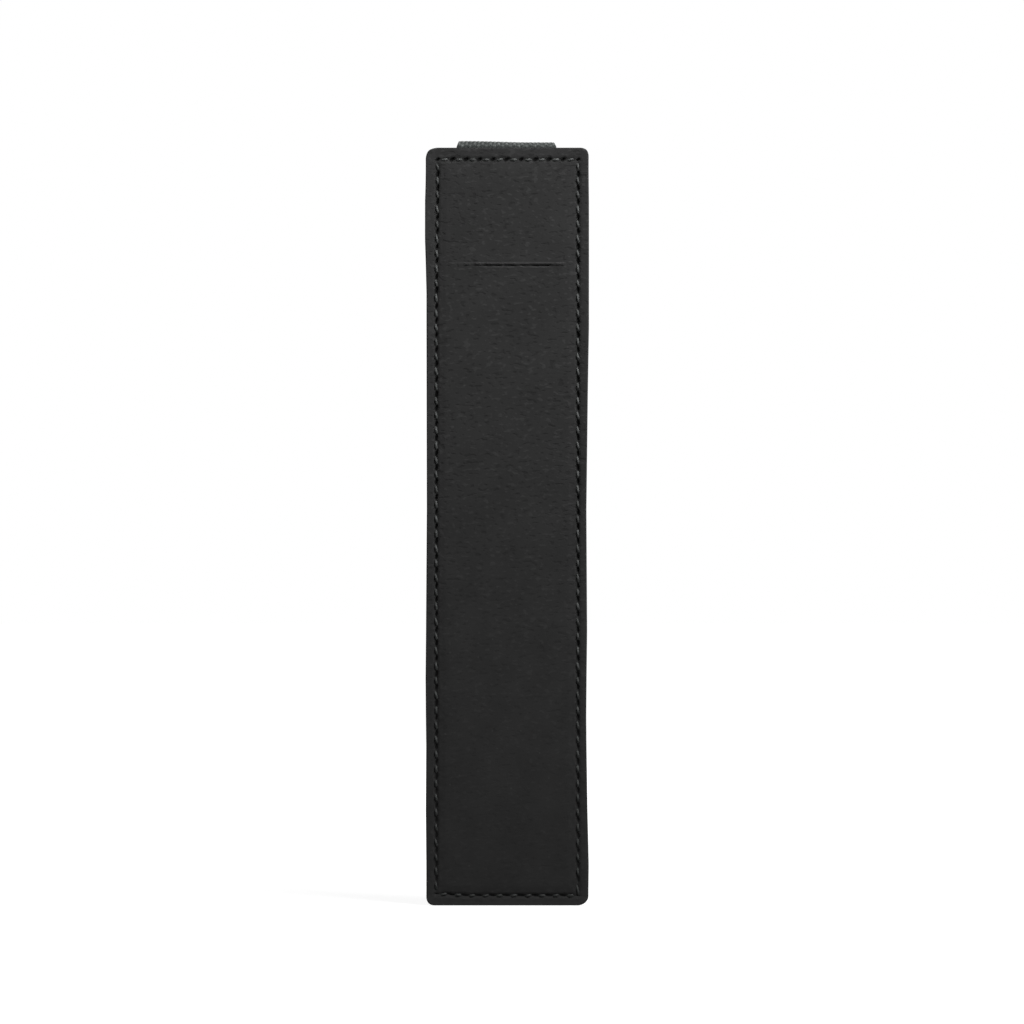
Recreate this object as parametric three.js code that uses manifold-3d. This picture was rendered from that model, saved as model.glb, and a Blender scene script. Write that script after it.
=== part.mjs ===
// A stitched leatherette pen sleeve with an elastic loop on its back, in millimetres.
// X runs across the sleeve, Z runs up it and the front faces -Y.
// The origin is the centre of the back panel's rear face, which lies against a notebook's cover.

import * as THREE from 'three';
import { mergeGeometries, mergeVertices } from 'three/addons/utils/BufferGeometryUtils.js';
import Module from 'manifold-3d';

const wasm = await Module();
wasm.setup();

// Leatherette panels
const SLEEVE_WIDTH = 38;
const SLEEVE_LENGTH = 179;
const CORNER_RADIUS = 2;
const BACK_THICKNESS = 1.1;
const FRONT_THICKNESS = 1.1;

// Inside the seam the front panel stands off the back panel, with a slope beside the stitches
const POCKET_SLACK = 0.3;
const SLOPE_FROM_SEAM = 0.9;
const SLOPE_RUN = 1.2;

// Pen slit, and the stretch of the front panel below it that lifts when a pen goes in
const SLIT_DROP = 27.8;
const SLIT_GAP = 0.3;
const SLIT_FROM_SEAM = 2.4;
const POCKET_FOOT_RISE = 2;
const POCKET_CLEARANCE = 0.15;

// Lockstitch seam: one thread lies on the front, one on the back, and they meet inside each needle hole
const SEAM_INSET = 2.6;
const STITCH_PITCH = 3.45;
const THREAD_WIDTH = 0.42;
const THREAD_LEG_GAP = 0.2;
const THREAD_LIFT = 0.03;
const HOLE_CLEARANCE = 0.12;
const LOCK_GAP = 0.2;

// Elastic band: it leaves the top seam, folds over the back panel's top edge, stands off the back
// and goes through a slot in the back panel to be caught in the bottom seam
const BAND_WIDTH = 23;
const BAND_THICKNESS = 0.8;
const BAND_STANDOFF = 5;
const BAND_SWEEP = 34;
const FOLD_RISE = 1.4;
const FOLD_CLEARANCE = 0.2;
const TAIL_LENGTH = 8;
const TAIL_END_INSET = 1;
const TAIL_CLEARANCE = 0.05;
const GATE_ANGLE = THREE.MathUtils.degToRad(50);
const GATE_BEND = 1.2;
const GATE_CLEARANCE = 0.3;

// How finely the round stretches are cut into flats
const CORNER_STEPS = 6;
const FOLD_STEPS = 12;

// Places that follow from the sizes above
const TOP = SLEEVE_LENGTH / 2;
const BOTTOM = -TOP;
const MEETING_Y = -BACK_THICKNESS;
const FRONT_Y = MEETING_Y - FRONT_THICKNESS;
const SEAM_X = SLEEVE_WIDTH / 2 - SEAM_INSET;
const SEAM_Z = SLEEVE_LENGTH / 2 - SEAM_INSET;
const HALF_THREAD = THREAD_WIDTH / 2;
const LEG_OFFSET = HALF_THREAD + THREAD_LEG_GAP / 2;
const HOLE_HALF_LENGTH = LEG_OFFSET + HALF_THREAD + HOLE_CLEARANCE;
const HOLE_HALF_WIDTH = HALF_THREAD + HOLE_CLEARANCE;
const HALF_BAND = BAND_THICKNESS / 2;
const RUN_Y = BAND_STANDOFF + HALF_BAND;
const RUN_TOP = TOP - BAND_SWEEP;
const RUN_BOTTOM = BOTTOM + BAND_SWEEP;
const LOWER_TAIL_TOP = BOTTOM + TAIL_LENGTH;
const SLIT_Z = TOP - SLIT_DROP;
const SLIT_X = SEAM_X - SLIT_FROM_SEAM;

// Where the band bends inside the slot: it comes in along GATE_DIRECTION and turns down between the panels
const GATE_DIRECTION = new THREE.Vector2(-Math.sin(GATE_ANGLE), -Math.cos(GATE_ANGLE));
const GATE_BEND_START = new THREE.Vector2(
  MEETING_Y + GATE_BEND * (1 - Math.cos(GATE_ANGLE)),
  LOWER_TAIL_TOP + GATE_BEND * Math.sin(GATE_ANGLE),
);
const SLOT_TOP = slotTop();
const POCKET_FOOT = SLOT_TOP + POCKET_FOOT_RISE;

// An outline drawn in X and Z is extruded towards the front, and one drawn in Y and Z along X
const FACING_FRONT = new THREE.Matrix4().makeBasis(
  new THREE.Vector3(1, 0, 0),
  new THREE.Vector3(0, 0, 1),
  new THREE.Vector3(0, -1, 0),
);
const SEEN_FROM_SIDE = new THREE.Matrix4().makeBasis(
  new THREE.Vector3(0, 1, 0),
  new THREE.Vector3(0, 0, 1),
  new THREE.Vector3(1, 0, 0),
);

// Materials, one for each piece
const leatherette = () => new THREE.MeshStandardMaterial({ color: 0x2d2d2d, roughness: 0.7, metalness: 0 });
const elastic = () => new THREE.MeshStandardMaterial({ color: 0x3a403e, roughness: 0.9, metalness: 0 });
const thread = () => new THREE.MeshStandardMaterial({ color: 0x343836, roughness: 0.55, metalness: 0 });

// Height at which the band's front side comes out of the back panel's rear face, with its clearance
function slotTop() {
  const sine = Math.sin(GATE_ANGLE);
  const cosine = Math.cos(GATE_ANGLE);
  const along = (HALF_BAND * cosine - GATE_BEND_START.x) / sine;
  return GATE_BEND_START.y + along * cosine + HALF_BAND * sine + GATE_CLEARANCE;
}

// A closed geometry as a solid that can be cut and joined
function solid(geometry) {
  const bare = geometry.clone();
  bare.deleteAttribute('normal');
  bare.deleteAttribute('uv');
  const merged = mergeVertices(bare);
  const vertProperties = new Float32Array(merged.attributes.position.array);
  const triVerts = new Uint32Array(merged.index.array);
  return new wasm.Manifold(new wasm.Mesh({ numProp: 3, vertProperties, triVerts }));
}

// The geometry of a solid that was cut or joined
function geometryOf(shape) {
  const { vertProperties, triVerts } = shape.getMesh();
  return meshGeometry(vertProperties, triVerts);
}

function meshGeometry(positions, triangles) {
  const geometry = new THREE.BufferGeometry();
  geometry.setAttribute('position', new THREE.BufferAttribute(new Float32Array(positions), 3));
  geometry.setIndex(new THREE.BufferAttribute(new Uint32Array(triangles), 1));
  geometry.computeVertexNormals();
  return geometry;
}

function piece(name, geometry, material) {
  const mesh = new THREE.Mesh(geometry, material);
  mesh.name = name;
  return mesh;
}

// A box between two corners
function block(low, high) {
  const size = high.map((value, axis) => value - low[axis]);
  const middle = high.map((value, axis) => (value + low[axis]) / 2);
  return new THREE.BoxGeometry(...size).translate(...middle);
}

// A block across the band, wider than it by a clearance on each side
function acrossBand(clearance, lowY, highY, lowZ, highZ) {
  const half = BAND_WIDTH / 2 + clearance;
  return block([-half, lowY, lowZ], [half, highY, highZ]);
}

// The panels' shared outline, extruded from its rear face to the front
function panelBlank(rearY, thickness) {
  const sideX = SLEEVE_WIDTH / 2 - CORNER_RADIUS;
  const sideZ = SLEEVE_LENGTH / 2 - CORNER_RADIUS;
  const quarter = Math.PI / 2;
  const outline = new THREE.Shape();
  outline.absarc(sideX, sideZ, CORNER_RADIUS, 0, quarter);
  outline.absarc(-sideX, sideZ, CORNER_RADIUS, quarter, 2 * quarter);
  outline.absarc(-sideX, -sideZ, CORNER_RADIUS, 2 * quarter, 3 * quarter);
  outline.absarc(sideX, -sideZ, CORNER_RADIUS, 3 * quarter, 4 * quarter);
  const settings = { depth: thickness, bevelEnabled: false, curveSegments: CORNER_STEPS };
  const blank = new THREE.ExtrudeGeometry(outline, settings).applyMatrix4(FACING_FRONT);
  return blank.translate(0, rearY, 0);
}

// The low raised field inside the seam: a flat top towards the front, with a slope on all four sides
function raisedField(footY) {
  const ring = (inset, y) => {
    const x = SEAM_X - inset;
    const z = SEAM_Z - inset;
    return [-x, y, -z, x, y, -z, x, y, z, -x, y, z];
  };
  const foot = ring(SLOPE_FROM_SEAM, footY);
  const top = ring(SLOPE_FROM_SEAM + SLOPE_RUN, footY - POCKET_SLACK);
  const triangles = [0, 2, 1, 0, 3, 2, 4, 5, 6, 4, 6, 7];
  for (let i = 0; i < 4; i += 1) {
    const next = (i + 1) % 4;
    triangles.push(i, next, next + 4, i, next + 4, i + 4);
  }
  return meshGeometry([...foot, ...top], triangles);
}

// The seam as a ring of needle holes. A corner hole has one direction coming in and another going out
function needleHoles() {
  const corners = [
    new THREE.Vector3(-SEAM_X, 0, -SEAM_Z),
    new THREE.Vector3(SEAM_X, 0, -SEAM_Z),
    new THREE.Vector3(SEAM_X, 0, SEAM_Z),
    new THREE.Vector3(-SEAM_X, 0, SEAM_Z),
  ];
  const sides = corners.map((corner, i) => {
    const span = corners[(i + 1) % corners.length].clone().sub(corner);
    return { corner, span, along: span.clone().normalize() };
  });
  return sides.flatMap(({ corner, span, along }, i) => {
    const before = sides[(i + sides.length - 1) % sides.length].along;
    const stitches = Math.round(span.length() / STITCH_PITCH);
    return Array.from({ length: stitches }, (_, k) => ({
      centre: corner.clone().addScaledVector(span, k / stitches),
      into: k === 0 ? before : along,
      out: along,
    }));
  });
}

// Prisms that cut every needle hole through the whole stack
function holeCutters(holes) {
  const frontY = FRONT_Y - POCKET_SLACK;
  const rearY = BAND_THICKNESS;
  const reach = (along, across) => (along !== 0 || across !== 0 ? HOLE_HALF_LENGTH : HOLE_HALF_WIDTH);
  const cutters = holes.map(({ centre, into, out }) => {
    const halfX = reach(into.x, out.x);
    const halfZ = reach(into.z, out.z);
    return block(
      [centre.x - halfX, frontY, centre.z - halfZ],
      [centre.x + halfX, rearY, centre.z + halfZ],
    );
  });
  return solid(mergeGeometries(cutters));
}

// One unbroken thread, square in section: it lies on a face that looks along `outward`, and at each hole
// it goes in to lockY and comes out again
function seamThread(holes, faceY, lockY, outward) {
  const normal = new THREE.Vector3(0, outward, 0);
  const lieY = faceY + outward * (THREAD_LIFT + HALF_THREAD);
  const positions = [];
  const addRing = (centre, y, along, turn) => {
    const side = new THREE.Vector3().crossVectors(normal, along).multiplyScalar(HALF_THREAD);
    const tilt = normal.clone().addScaledVector(along, turn).multiplyScalar(HALF_THREAD);
    const middle = centre.clone().setY(y);
    for (const [across, over] of [[1, 1], [-1, 1], [-1, -1], [1, -1]]) {
      const corner = middle.clone().addScaledVector(side, across).addScaledVector(tilt, over);
      positions.push(...corner.toArray());
    }
  };
  for (const { centre, into, out } of holes) {
    const legIn = centre.clone().addScaledVector(into, -LEG_OFFSET);
    const legOut = centre.clone().addScaledVector(out, LEG_OFFSET);
    addRing(legIn, lieY, into, 1);
    addRing(legIn, lockY, into, 1);
    addRing(legOut, lockY, out, -1);
    addRing(legOut, lieY, out, -1);
  }
  return meshGeometry(positions, ringTriangles(positions.length / 12, 4));
}

// Triangles that join rings of corners, each to the next and the last to the first
function ringTriangles(rings, sides) {
  const triangles = [];
  for (let ring = 0; ring < rings; ring += 1) {
    const here = ring * sides;
    const there = ((ring + 1) % rings) * sides;
    for (let side = 0; side < sides; side += 1) {
      const next = (side + 1) % sides;
      triangles.push(here + side, here + next, there + next);
      triangles.push(here + side, there + next, there + side);
    }
  }
  return triangles;
}

// A stretch of the band along a centreline drawn in Y and Z, whose two ends stand upright
function bandStretch(centreline) {
  const points = centreline.getPoints(FOLD_STEPS);
  const last = points.length - 1;
  const left = [];
  const right = [];
  points.forEach((point, i) => {
    const tangent = points[Math.min(i + 1, last)].clone().sub(points[Math.max(i - 1, 0)]);
    if (i === 0 || i === last) {
      tangent.x = 0;
    }
    const offset = new THREE.Vector2(-tangent.y, tangent.x).setLength(HALF_BAND);
    left.push(point.clone().add(offset));
    right.unshift(point.clone().sub(offset));
  });
  const settings = { depth: BAND_WIDTH, bevelEnabled: false };
  const stretch = new THREE.ExtrudeGeometry(new THREE.Shape([...left, ...right]), settings);
  return stretch.applyMatrix4(SEEN_FROM_SIDE).translate(-BAND_WIDTH / 2, 0, 0);
}

// From the top seam over the back panel's top edge, past the rear thread, and out to the straight run
function upperCentreline() {
  const rearY = THREAD_LIFT + THREAD_WIDTH + FOLD_CLEARANCE + HALF_BAND;
  const middleY = (MEETING_Y + rearY) / 2;
  const handle = BAND_SWEEP / 2;
  const path = new THREE.Path();
  path.absellipse(middleY, TOP, rearY - middleY, FOLD_RISE - HALF_BAND, Math.PI, 0, true);
  path.bezierCurveTo(rearY, TOP - handle, RUN_Y, RUN_TOP + handle, RUN_Y, RUN_TOP);
  return path;
}

// From the straight run in through the back panel's slot, and down between the panels
function lowerCentreline() {
  const gateY = BAND_THICKNESS + GATE_CLEARANCE;
  const back = (gateY - GATE_BEND_START.x) / Math.sin(GATE_ANGLE);
  const gate = GATE_BEND_START.clone().addScaledVector(GATE_DIRECTION, -back);
  const handle = (RUN_Y - gateY) / Math.sin(GATE_ANGLE);
  const easing = gate.clone().addScaledVector(GATE_DIRECTION, -handle / 2);
  const path = new THREE.Path();
  path.moveTo(RUN_Y, RUN_BOTTOM);
  path.bezierCurveTo(RUN_Y, (RUN_BOTTOM + gate.y) / 2, easing.x, easing.y, gate.x, gate.y);
  path.lineTo(GATE_BEND_START.x, GATE_BEND_START.y);
  path.absarc(MEETING_Y + GATE_BEND, LOWER_TAIL_TOP, GATE_BEND, Math.PI - GATE_ANGLE, Math.PI);
  return path;
}

// A flat end of the band between the panels, with the seam's needle holes through it
function bandTail(lowZ, highZ, cutters) {
  const tail = acrossBand(0, MEETING_Y - HALF_BAND, MEETING_Y + HALF_BAND, lowZ, highZ);
  return geometryOf(solid(tail).subtract(cutters));
}

// Room for both ends of the band: half of it is taken from each panel
function tailRecesses(lowerTop) {
  const reach = HALF_BAND + TAIL_CLEARANCE;
  const room = (lowZ, highZ) =>
    acrossBand(TAIL_CLEARANCE, MEETING_Y - reach, MEETING_Y + reach, lowZ, highZ);
  const upper = room(TOP - TAIL_LENGTH - TAIL_CLEARANCE, TOP + TAIL_CLEARANCE);
  const lower = room(BOTTOM + TAIL_END_INSET - TAIL_CLEARANCE, lowerTop);
  return solid(mergeGeometries([upper, lower]));
}

// The back sheet, with the band's slot near its foot. The field that a cover rests on, opposite the band's
// straight run, is put in as a block, so that it stays a plain facet of its own
function backPanel(cutters) {
  const slot = acrossBand(GATE_CLEARANCE, MEETING_Y, BAND_THICKNESS, LOWER_TAIL_TOP, SLOT_TOP);
  const field = solid(acrossBand(0, MEETING_Y, 0, RUN_BOTTOM, RUN_TOP));
  const sheet = solid(panelBlank(0, BACK_THICKNESS))
    .subtract(tailRecesses(LOWER_TAIL_TOP))
    .subtract(solid(slot))
    .subtract(cutters)
    .subtract(field)
    .add(field);
  return geometryOf(sheet);
}

// The front sheet without the stretch that lifts: its border, and the flap above the slit
function frontPanel(cutters) {
  const window = block(
    [-SLIT_X, FRONT_Y - 2 * POCKET_SLACK, POCKET_FOOT - POCKET_CLEARANCE],
    [SLIT_X, MEETING_Y + POCKET_SLACK, SLIT_Z + SLIT_GAP / 2],
  );
  const sheet = solid(panelBlank(MEETING_Y, FRONT_THICKNESS))
    .add(solid(raisedField(FRONT_Y)))
    .subtract(solid(raisedField(MEETING_Y)))
    .subtract(solid(window))
    .subtract(tailRecesses(SLOT_TOP))
    .subtract(cutters);
  return geometryOf(sheet);
}

// The stretch of the front sheet below the slit
function pocketFront() {
  const side = SLIT_X - POCKET_CLEARANCE;
  return block(
    [-side, FRONT_Y - POCKET_SLACK, POCKET_FOOT],
    [side, MEETING_Y - POCKET_SLACK, SLIT_Z - SLIT_GAP / 2],
  );
}

// The two panels and the two threads that join them
function buildSleeve(holes, cutters) {
  const stackMiddle = FRONT_Y / 2;
  const lockReach = HALF_THREAD + LOCK_GAP / 2;
  const needleThread = seamThread(holes, FRONT_Y, stackMiddle - lockReach, -1);
  const bobbinThread = seamThread(holes, 0, stackMiddle + lockReach, 1);
  const group = new THREE.Group();
  group.add(
    piece('back_panel', backPanel(cutters), leatherette()),
    piece('front_panel', frontPanel(cutters), leatherette()),
    piece('pocket_front', pocketFront(), leatherette()),
    piece('needle_thread', needleThread, thread()),
    piece('bobbin_thread', bobbinThread, thread()),
  );
  return group;
}

// The elastic, from its upper sewn end to its lower one
function buildBand(cutters) {
  const run = acrossBand(0, BAND_STANDOFF, BAND_STANDOFF + BAND_THICKNESS, RUN_BOTTOM, RUN_TOP);
  const upperTail = bandTail(TOP - TAIL_LENGTH, TOP, cutters);
  const lowerTail = bandTail(BOTTOM + TAIL_END_INSET, LOWER_TAIL_TOP, cutters);
  const group = new THREE.Group();
  group.add(
    piece('band_top_tail', upperTail, elastic()),
    piece('band_upper_stretch', bandStretch(upperCentreline()), elastic()),
    piece('band_run', run, elastic()),
    piece('band_lower_stretch', bandStretch(lowerCentreline()), elastic()),
    piece('band_bottom_tail', lowerTail, elastic()),
  );
  return group;
}

const seamHoles = needleHoles();
const seamCutters = holeCutters(seamHoles);
const penSleeve = new THREE.Group();
penSleeve.add(buildSleeve(seamHoles, seamCutters), buildBand(seamCutters));

export default penSleeve;
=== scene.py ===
"""A stitched leatherette pen sleeve with an elastic loop on its back, dressed around the CAD frame."""

import math

import bpy
import numpy as np
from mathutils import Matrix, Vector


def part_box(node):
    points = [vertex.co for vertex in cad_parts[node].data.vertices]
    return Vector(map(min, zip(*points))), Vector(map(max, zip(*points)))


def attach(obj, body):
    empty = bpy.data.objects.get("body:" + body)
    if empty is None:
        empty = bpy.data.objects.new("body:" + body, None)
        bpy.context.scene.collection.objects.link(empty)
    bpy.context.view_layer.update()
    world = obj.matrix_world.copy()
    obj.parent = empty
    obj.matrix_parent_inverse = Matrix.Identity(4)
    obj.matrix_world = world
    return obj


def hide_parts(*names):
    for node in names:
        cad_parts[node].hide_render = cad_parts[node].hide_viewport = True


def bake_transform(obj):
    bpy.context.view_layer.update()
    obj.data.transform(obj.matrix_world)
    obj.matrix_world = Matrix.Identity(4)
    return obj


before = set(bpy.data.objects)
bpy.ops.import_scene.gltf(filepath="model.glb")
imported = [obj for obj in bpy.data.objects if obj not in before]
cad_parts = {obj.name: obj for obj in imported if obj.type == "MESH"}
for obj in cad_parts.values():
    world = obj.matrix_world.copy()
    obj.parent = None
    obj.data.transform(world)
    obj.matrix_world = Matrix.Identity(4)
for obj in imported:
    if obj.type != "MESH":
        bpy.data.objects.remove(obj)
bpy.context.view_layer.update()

bl_info = {
    "name": "Elastic pen sleeve",
    "version": (1, 0, 0),
    "blender": (4, 5, 0),
    "location": "View3D > Sidebar > Pen sleeve",
    "description": "Makes the sewn sheets, the elastic loop and the stitches of a pen sleeve",
    "category": "Add Mesh",
}

MM = 0.001
HAIR = 1e-6 * MM


def millimetres(*values):
    """Lengths given in millimetres, as a list in metres."""
    return [value * MM for value in values]


# Places that the frame gives

BACK_LOW, BACK_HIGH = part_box("back_panel")
POCKET_LOW, POCKET_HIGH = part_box("pocket_front")
RUN_LOW, RUN_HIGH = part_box("band_run")
TOP_TAIL_LOW, TOP_TAIL_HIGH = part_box("band_top_tail")
BOTTOM_TAIL_LOW, BOTTOM_TAIL_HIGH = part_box("band_bottom_tail")

HALF_WIDTH = BACK_HIGH.x
HALF_LENGTH = BACK_HIGH.z
REAR_FACE = BACK_HIGH.y
MEETING = BACK_LOW.y
SHEET_THICKNESS = REAR_FACE - MEETING
FRONT_FACE = MEETING - SHEET_THICKNESS
POCKET_FOOT = POCKET_LOW.z
SLIT_CLEARANCE = 0.15 * MM
SLIT_HEIGHT = POCKET_HIGH.z + SLIT_CLEARANCE
SLIT_HALF = POCKET_HIGH.x + SLIT_CLEARANCE
SLOT_LOW = BOTTOM_TAIL_HIGH.z
SLOT_TO_POCKET = 2 * MM
SLOT_HIGH = POCKET_FOOT - SLOT_TO_POCKET
BAND_HALF = RUN_HIGH.x
BAND_THICKNESS = RUN_HIGH.y - RUN_LOW.y
FOLD_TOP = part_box("band_upper_stretch")[1].z
TAIL_MIDDLE = (TOP_TAIL_LOW.y + TOP_TAIL_HIGH.y) / 2
RUN_MIDDLE = (RUN_LOW.y + RUN_HIGH.y) / 2


# Sizes and colours that can be changed


def length(name, description, default):
    """A length property in metres."""
    return bpy.props.FloatProperty(
        name=name, description=description, default=default, min=0, precision=5, unit="LENGTH"
    )


def angle(name, description, degrees):
    """An angle property, given here in degrees."""
    return bpy.props.FloatProperty(
        name=name, description=description, default=math.radians(degrees), subtype="ANGLE"
    )


def power(name, description, default):
    """A lamp's power in watts."""
    return bpy.props.FloatProperty(name=name, description=description, default=default, min=0, unit="POWER")


def strength(name, description, default):
    """A plain strength of light."""
    return bpy.props.FloatProperty(name=name, description=description, default=default, min=0)


def colour(name, description, default):
    """A linear colour property."""
    return bpy.props.FloatVectorProperty(
        name=name, description=description, default=default, size=3, min=0, max=1, subtype="COLOR"
    )


class SleeveSettings(bpy.types.PropertyGroup):
    """The two sewn sheets of leatherette"""

    seam_inset: length("Seam inset", "From the cut edge to the seam on the long sides", 2.25 * MM)
    end_inset: length("End inset", "From the cut edge to the seam at the two ends", 2.5 * MM)
    stitch_pitch: length("Stitch pitch", "Between two needle holes, rounded to fit each side", 3.45 * MM)
    pitch_stray: length("Pitch stray", "Largest chance shift of a needle hole along the seam", 0.2 * MM)
    hole_depth: length("Hole depth", "How far a needle hole draws the sheet in", 0.5 * MM)
    hole_swell: length("Hole swell", "How far the leatherette swells beside a needle hole", 0.07 * MM)
    groove_depth: length("Groove depth", "How far the thread draws the seam in between two holes", 0.22 * MM)
    groove_width: length("Groove width", "Half width of that groove", 0.45 * MM)
    pocket_rise: length("Pocket rise", "How far the pocket's slack stands out over the seam", 0.2 * MM)
    slope_start: length("Slope start", "From the seam to the foot of the pocket's slope", 0.3 * MM)
    slope_end: length("Slope end", "From the seam to the head of the pocket's slope", 2.4 * MM)
    border_flare: length("Border flare", "How far the front's cut edge stands out over the seam", 0.4 * MM)
    edge_radius: length("Edge radius", "Rounding of the cut edges", 0.35 * MM)
    slit_gap: length("Slit gap", "Widest opening of the pen slit at rest", 0.22 * MM)
    lip_rise: length("Lip rise", "How far the lips of the slit curl out", 0.24 * MM)
    lip_fall: length("Lip fall", "How far the lower lip is worn down at the cut", 0.4 * MM)
    lip_radius: length("Lip radius", "Rounding of the upper lip", 0.2 * MM)
    wave: length("Wave", "Height of the soft waves in the sheets", 0.05 * MM)
    hinge: length("Pocket hinge", "How far in from its sides the pocket bends when it opens", 11 * MM)
    foot_hinge: length("Foot hinge", "How far up from its foot the pocket bends when it opens", 27 * MM)
    leather: colour("Leatherette", "Colour of the leatherette", (0.0215, 0.0215, 0.0215))
    # Pale colour of the worn cut edges, lint and grain tone, and also of the painted highlights on the
    # grain's ridges and the slit's lips
    leather_light: colour("Pale leatherette", "Colour of its paler grain and edges", (0.036, 0.036, 0.036))
    backing: colour("Backing cloth", "Colour of the knit on the inside of the sheets", (0.024, 0.025, 0.026))


class BandSettings(bpy.types.PropertyGroup):
    """The elastic loop"""

    ribs: bpy.props.IntProperty(name="Ribs", description="Ribs across the elastic", default=24, min=1)
    rib_depth: length("Rib depth", "Height of a rib over the furrow beside it", 0.07 * MM)
    spare: length("Spare width", "How far each edge stands out past the elastic's named width", 0.33 * MM)
    rear_gap: length("Rear gap", "From the rear face to the middle of the elastic below the fold", 1.05 * MM)
    fold_draw: length("Fold draw", "How far each edge draws in at the top of the fold", 0.45 * MM)
    fold_lean: length("Fold lean", "How much higher the fold stands on the left than on the right", 0.3 * MM)
    gate_bend: length("Gate bend", "Radius of the bend inside the lower slot", 1.2 * MM)
    gate_clearance: length("Gate clearance", "Room between the elastic and the slot's top edge", 0.3 * MM)
    gate_angle: angle("Gate angle", "Lean of the elastic where it leaves the slot", 50)
    yarn: colour("Elastic yarn", "Colour of the ribs", (0.103, 0.11, 0.107))
    furrow: colour("Elastic furrow", "Colour between the ribs", (0.022, 0.025, 0.024))


class StitchSettings(bpy.types.PropertyGroup):
    """The needle thread and the bobbin thread"""

    thread: length("Thread", "Diameter of the thread", 0.57 * MM)
    leg_gap: length("Leg gap", "Between the two threads in one hole", 2.0 * MM)
    crown: length("Crown", "Height of a stitch's middle over the sheet", 0.15 * MM)
    depth: length("Leg depth", "How far a stitch's ends go into the holes", 0.45 * MM)
    slant: angle("Slant", "Turn of the stitches from the seam's line", 10)
    wander: angle("Wander", "Largest chance turn of a stitch", 7)
    seed: bpy.props.IntProperty(name="Seed", description="Seed of the chance turns and sizes", default=7)
    lit: colour("Thread", "Colour of the thread", (0.068, 0.071, 0.07))
    shaded: colour("Thread furrow", "Colour between the plies", (0.018, 0.019, 0.0185))


class StageSettings(bpy.types.PropertyGroup):
    """Floor, light and camera"""

    view_width: length("View width", "Width of the picture at the sleeve's front", 0.2421)
    view_distance: length("View distance", "From the camera to the sleeve's front", 1.6)
    aim_across: length("Aim across", "How far right of the sleeve's middle the camera looks", 1.3 * MM)
    aim_up: length("Aim up", "How far above the sleeve's middle the camera looks", 3.35 * MM)
    key_power: power("Key power", "Power of the near lamp", 2.15)
    back_power: power("Back power", "Power of the lamp behind", 4.5)
    edge_power: power("Edge power", "Power of the lamp at the edge", 1.5)
    sun_strength: strength("Sun", "Strength of the even light", 0.17)
    ambient: strength("Ambient", "Light from all round", 0.08)
    floor: colour("Floor", "Colour of the floor", (0.25, 0.25, 0.25))


# Numbers and lines


def smooth(low, high, value):
    """0 below low, 1 above high, and a smooth climb between them."""
    share = np.clip((value - low) / (high - low), 0, 1)
    return share * share * (3 - 2 * share)


def bell(distance, width):
    """1 at no distance, falling smoothly to both sides, a third or so at the width."""
    return np.exp(-((distance / width) ** 2))


def rounding(distance, radius):
    """How far a rounded edge has fallen at this distance from the cut."""
    inside = np.clip(radius - distance, 0, radius)
    return radius - np.sqrt(radius * radius - inside * inside)


def spaced(start, end, step):
    """Evenly spaced lines from start to end, about step apart."""
    return list(np.linspace(start, end, max(1, round((end - start) / step)) + 1))


def mirrored(lines):
    """The lines, and the same ones on the other side of zero."""
    return [-line for line in lines] + list(lines)


def merged(needed, wanted, closest):
    """The needed lines, and each wanted one that lies further than closest from all those before it."""
    taken = sorted(set(needed))
    for line in sorted(wanted):
        if np.abs(np.array(taken) - line).min() > closest:
            taken.append(line)
    return np.array(sorted(taken))


def cell_middles(lines):
    """The middle of each gap between two lines."""
    return (lines[1:] + lines[:-1]) / 2


# The outline, cut by hand: how far each long edge strays outwards at some heights

CORNER_RADII = {(-1, 1): 2.4 * MM, (1, 1): 1.8 * MM, (-1, -1): 1.8 * MM, (1, -1): 2.4 * MM}
TRIM_HEIGHTS = millimetres(-87, -80, -67, -52, -45, -36, -25, 4, 32, 47, 55, 62, 68, 77, 80.5, 84)
TRIM_RIGHT = millimetres(
    0.37, 0.45, 0.15, -0.08, -0.14, -0.06, 0.07, -0.1, 0.24, 0.5, 0.5, 0.51, 0.51, 0.5, 0.46, 0.43
)
TRIM_LEFT = millimetres(
    -0.04, -0.04, 0.08, -0.01, 0.07, 0.14, 0.04, -0.16, -0.11, -0.08, -0.08, 0.09, 0.28, 0.26, 0.15, 0.1
)
TRIM_FOOT = 0.15 * MM
INNER_EDGE_RADIUS = 0.1 * MM
CUT_EDGE_FADE = millimetres(0.1, 1.0)

# The seam, and the length, width and turn of the needle holes in each of its rows

SEAM_SEED = 5
SEAM_SHIFT_ACROSS = 0.13 * MM
SEAM_SHIFT_UP = -0.33 * MM
SEAM_SWAY = 0.3 * MM
SWAY_HEIGHTS = millimetres(50, 85)
FOOT_SWAY = 0.4 * MM
FOOT_SWAY_START = 9 * MM
END_ROW_REACH = millimetres(5, 1)
TOP_HOLES = (1.7 * MM, 0.95 * MM, math.radians(28))
FOOT_HOLES = (2.3 * MM, 0.7 * MM, math.radians(-6))
LEFT_HOLES = (1.95 * MM, 0.78 * MM, math.radians(12))
RIGHT_HOLES = (1.95 * MM, 0.78 * MM, math.radians(-4))
HOLE_SIZES = (0.86, 1.14)
CORNER_HOLE_SIZES = ((0.75, 0.65), (0.55, 0.4))
SHARED_HOLE_SIZE = 0.01
HOLE_WALL = (0.4, 1.1)
FOOT_HOLE_SHARE = 0.55
FADE_HEIGHT = 20 * MM
HOLE_GROOVE_LOSS = 0.5
SWELL_PLACE = 0.85 * MM
SWELL_WIDTH = 0.35 * MM
END_SINK = 0.1 * MM
LAST_STITCH_OVERRUN = 1.6 * MM

# The pen slit: how far it stands open at some places across, how its lips are worn, and where a painted
# highlight runs along them

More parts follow.
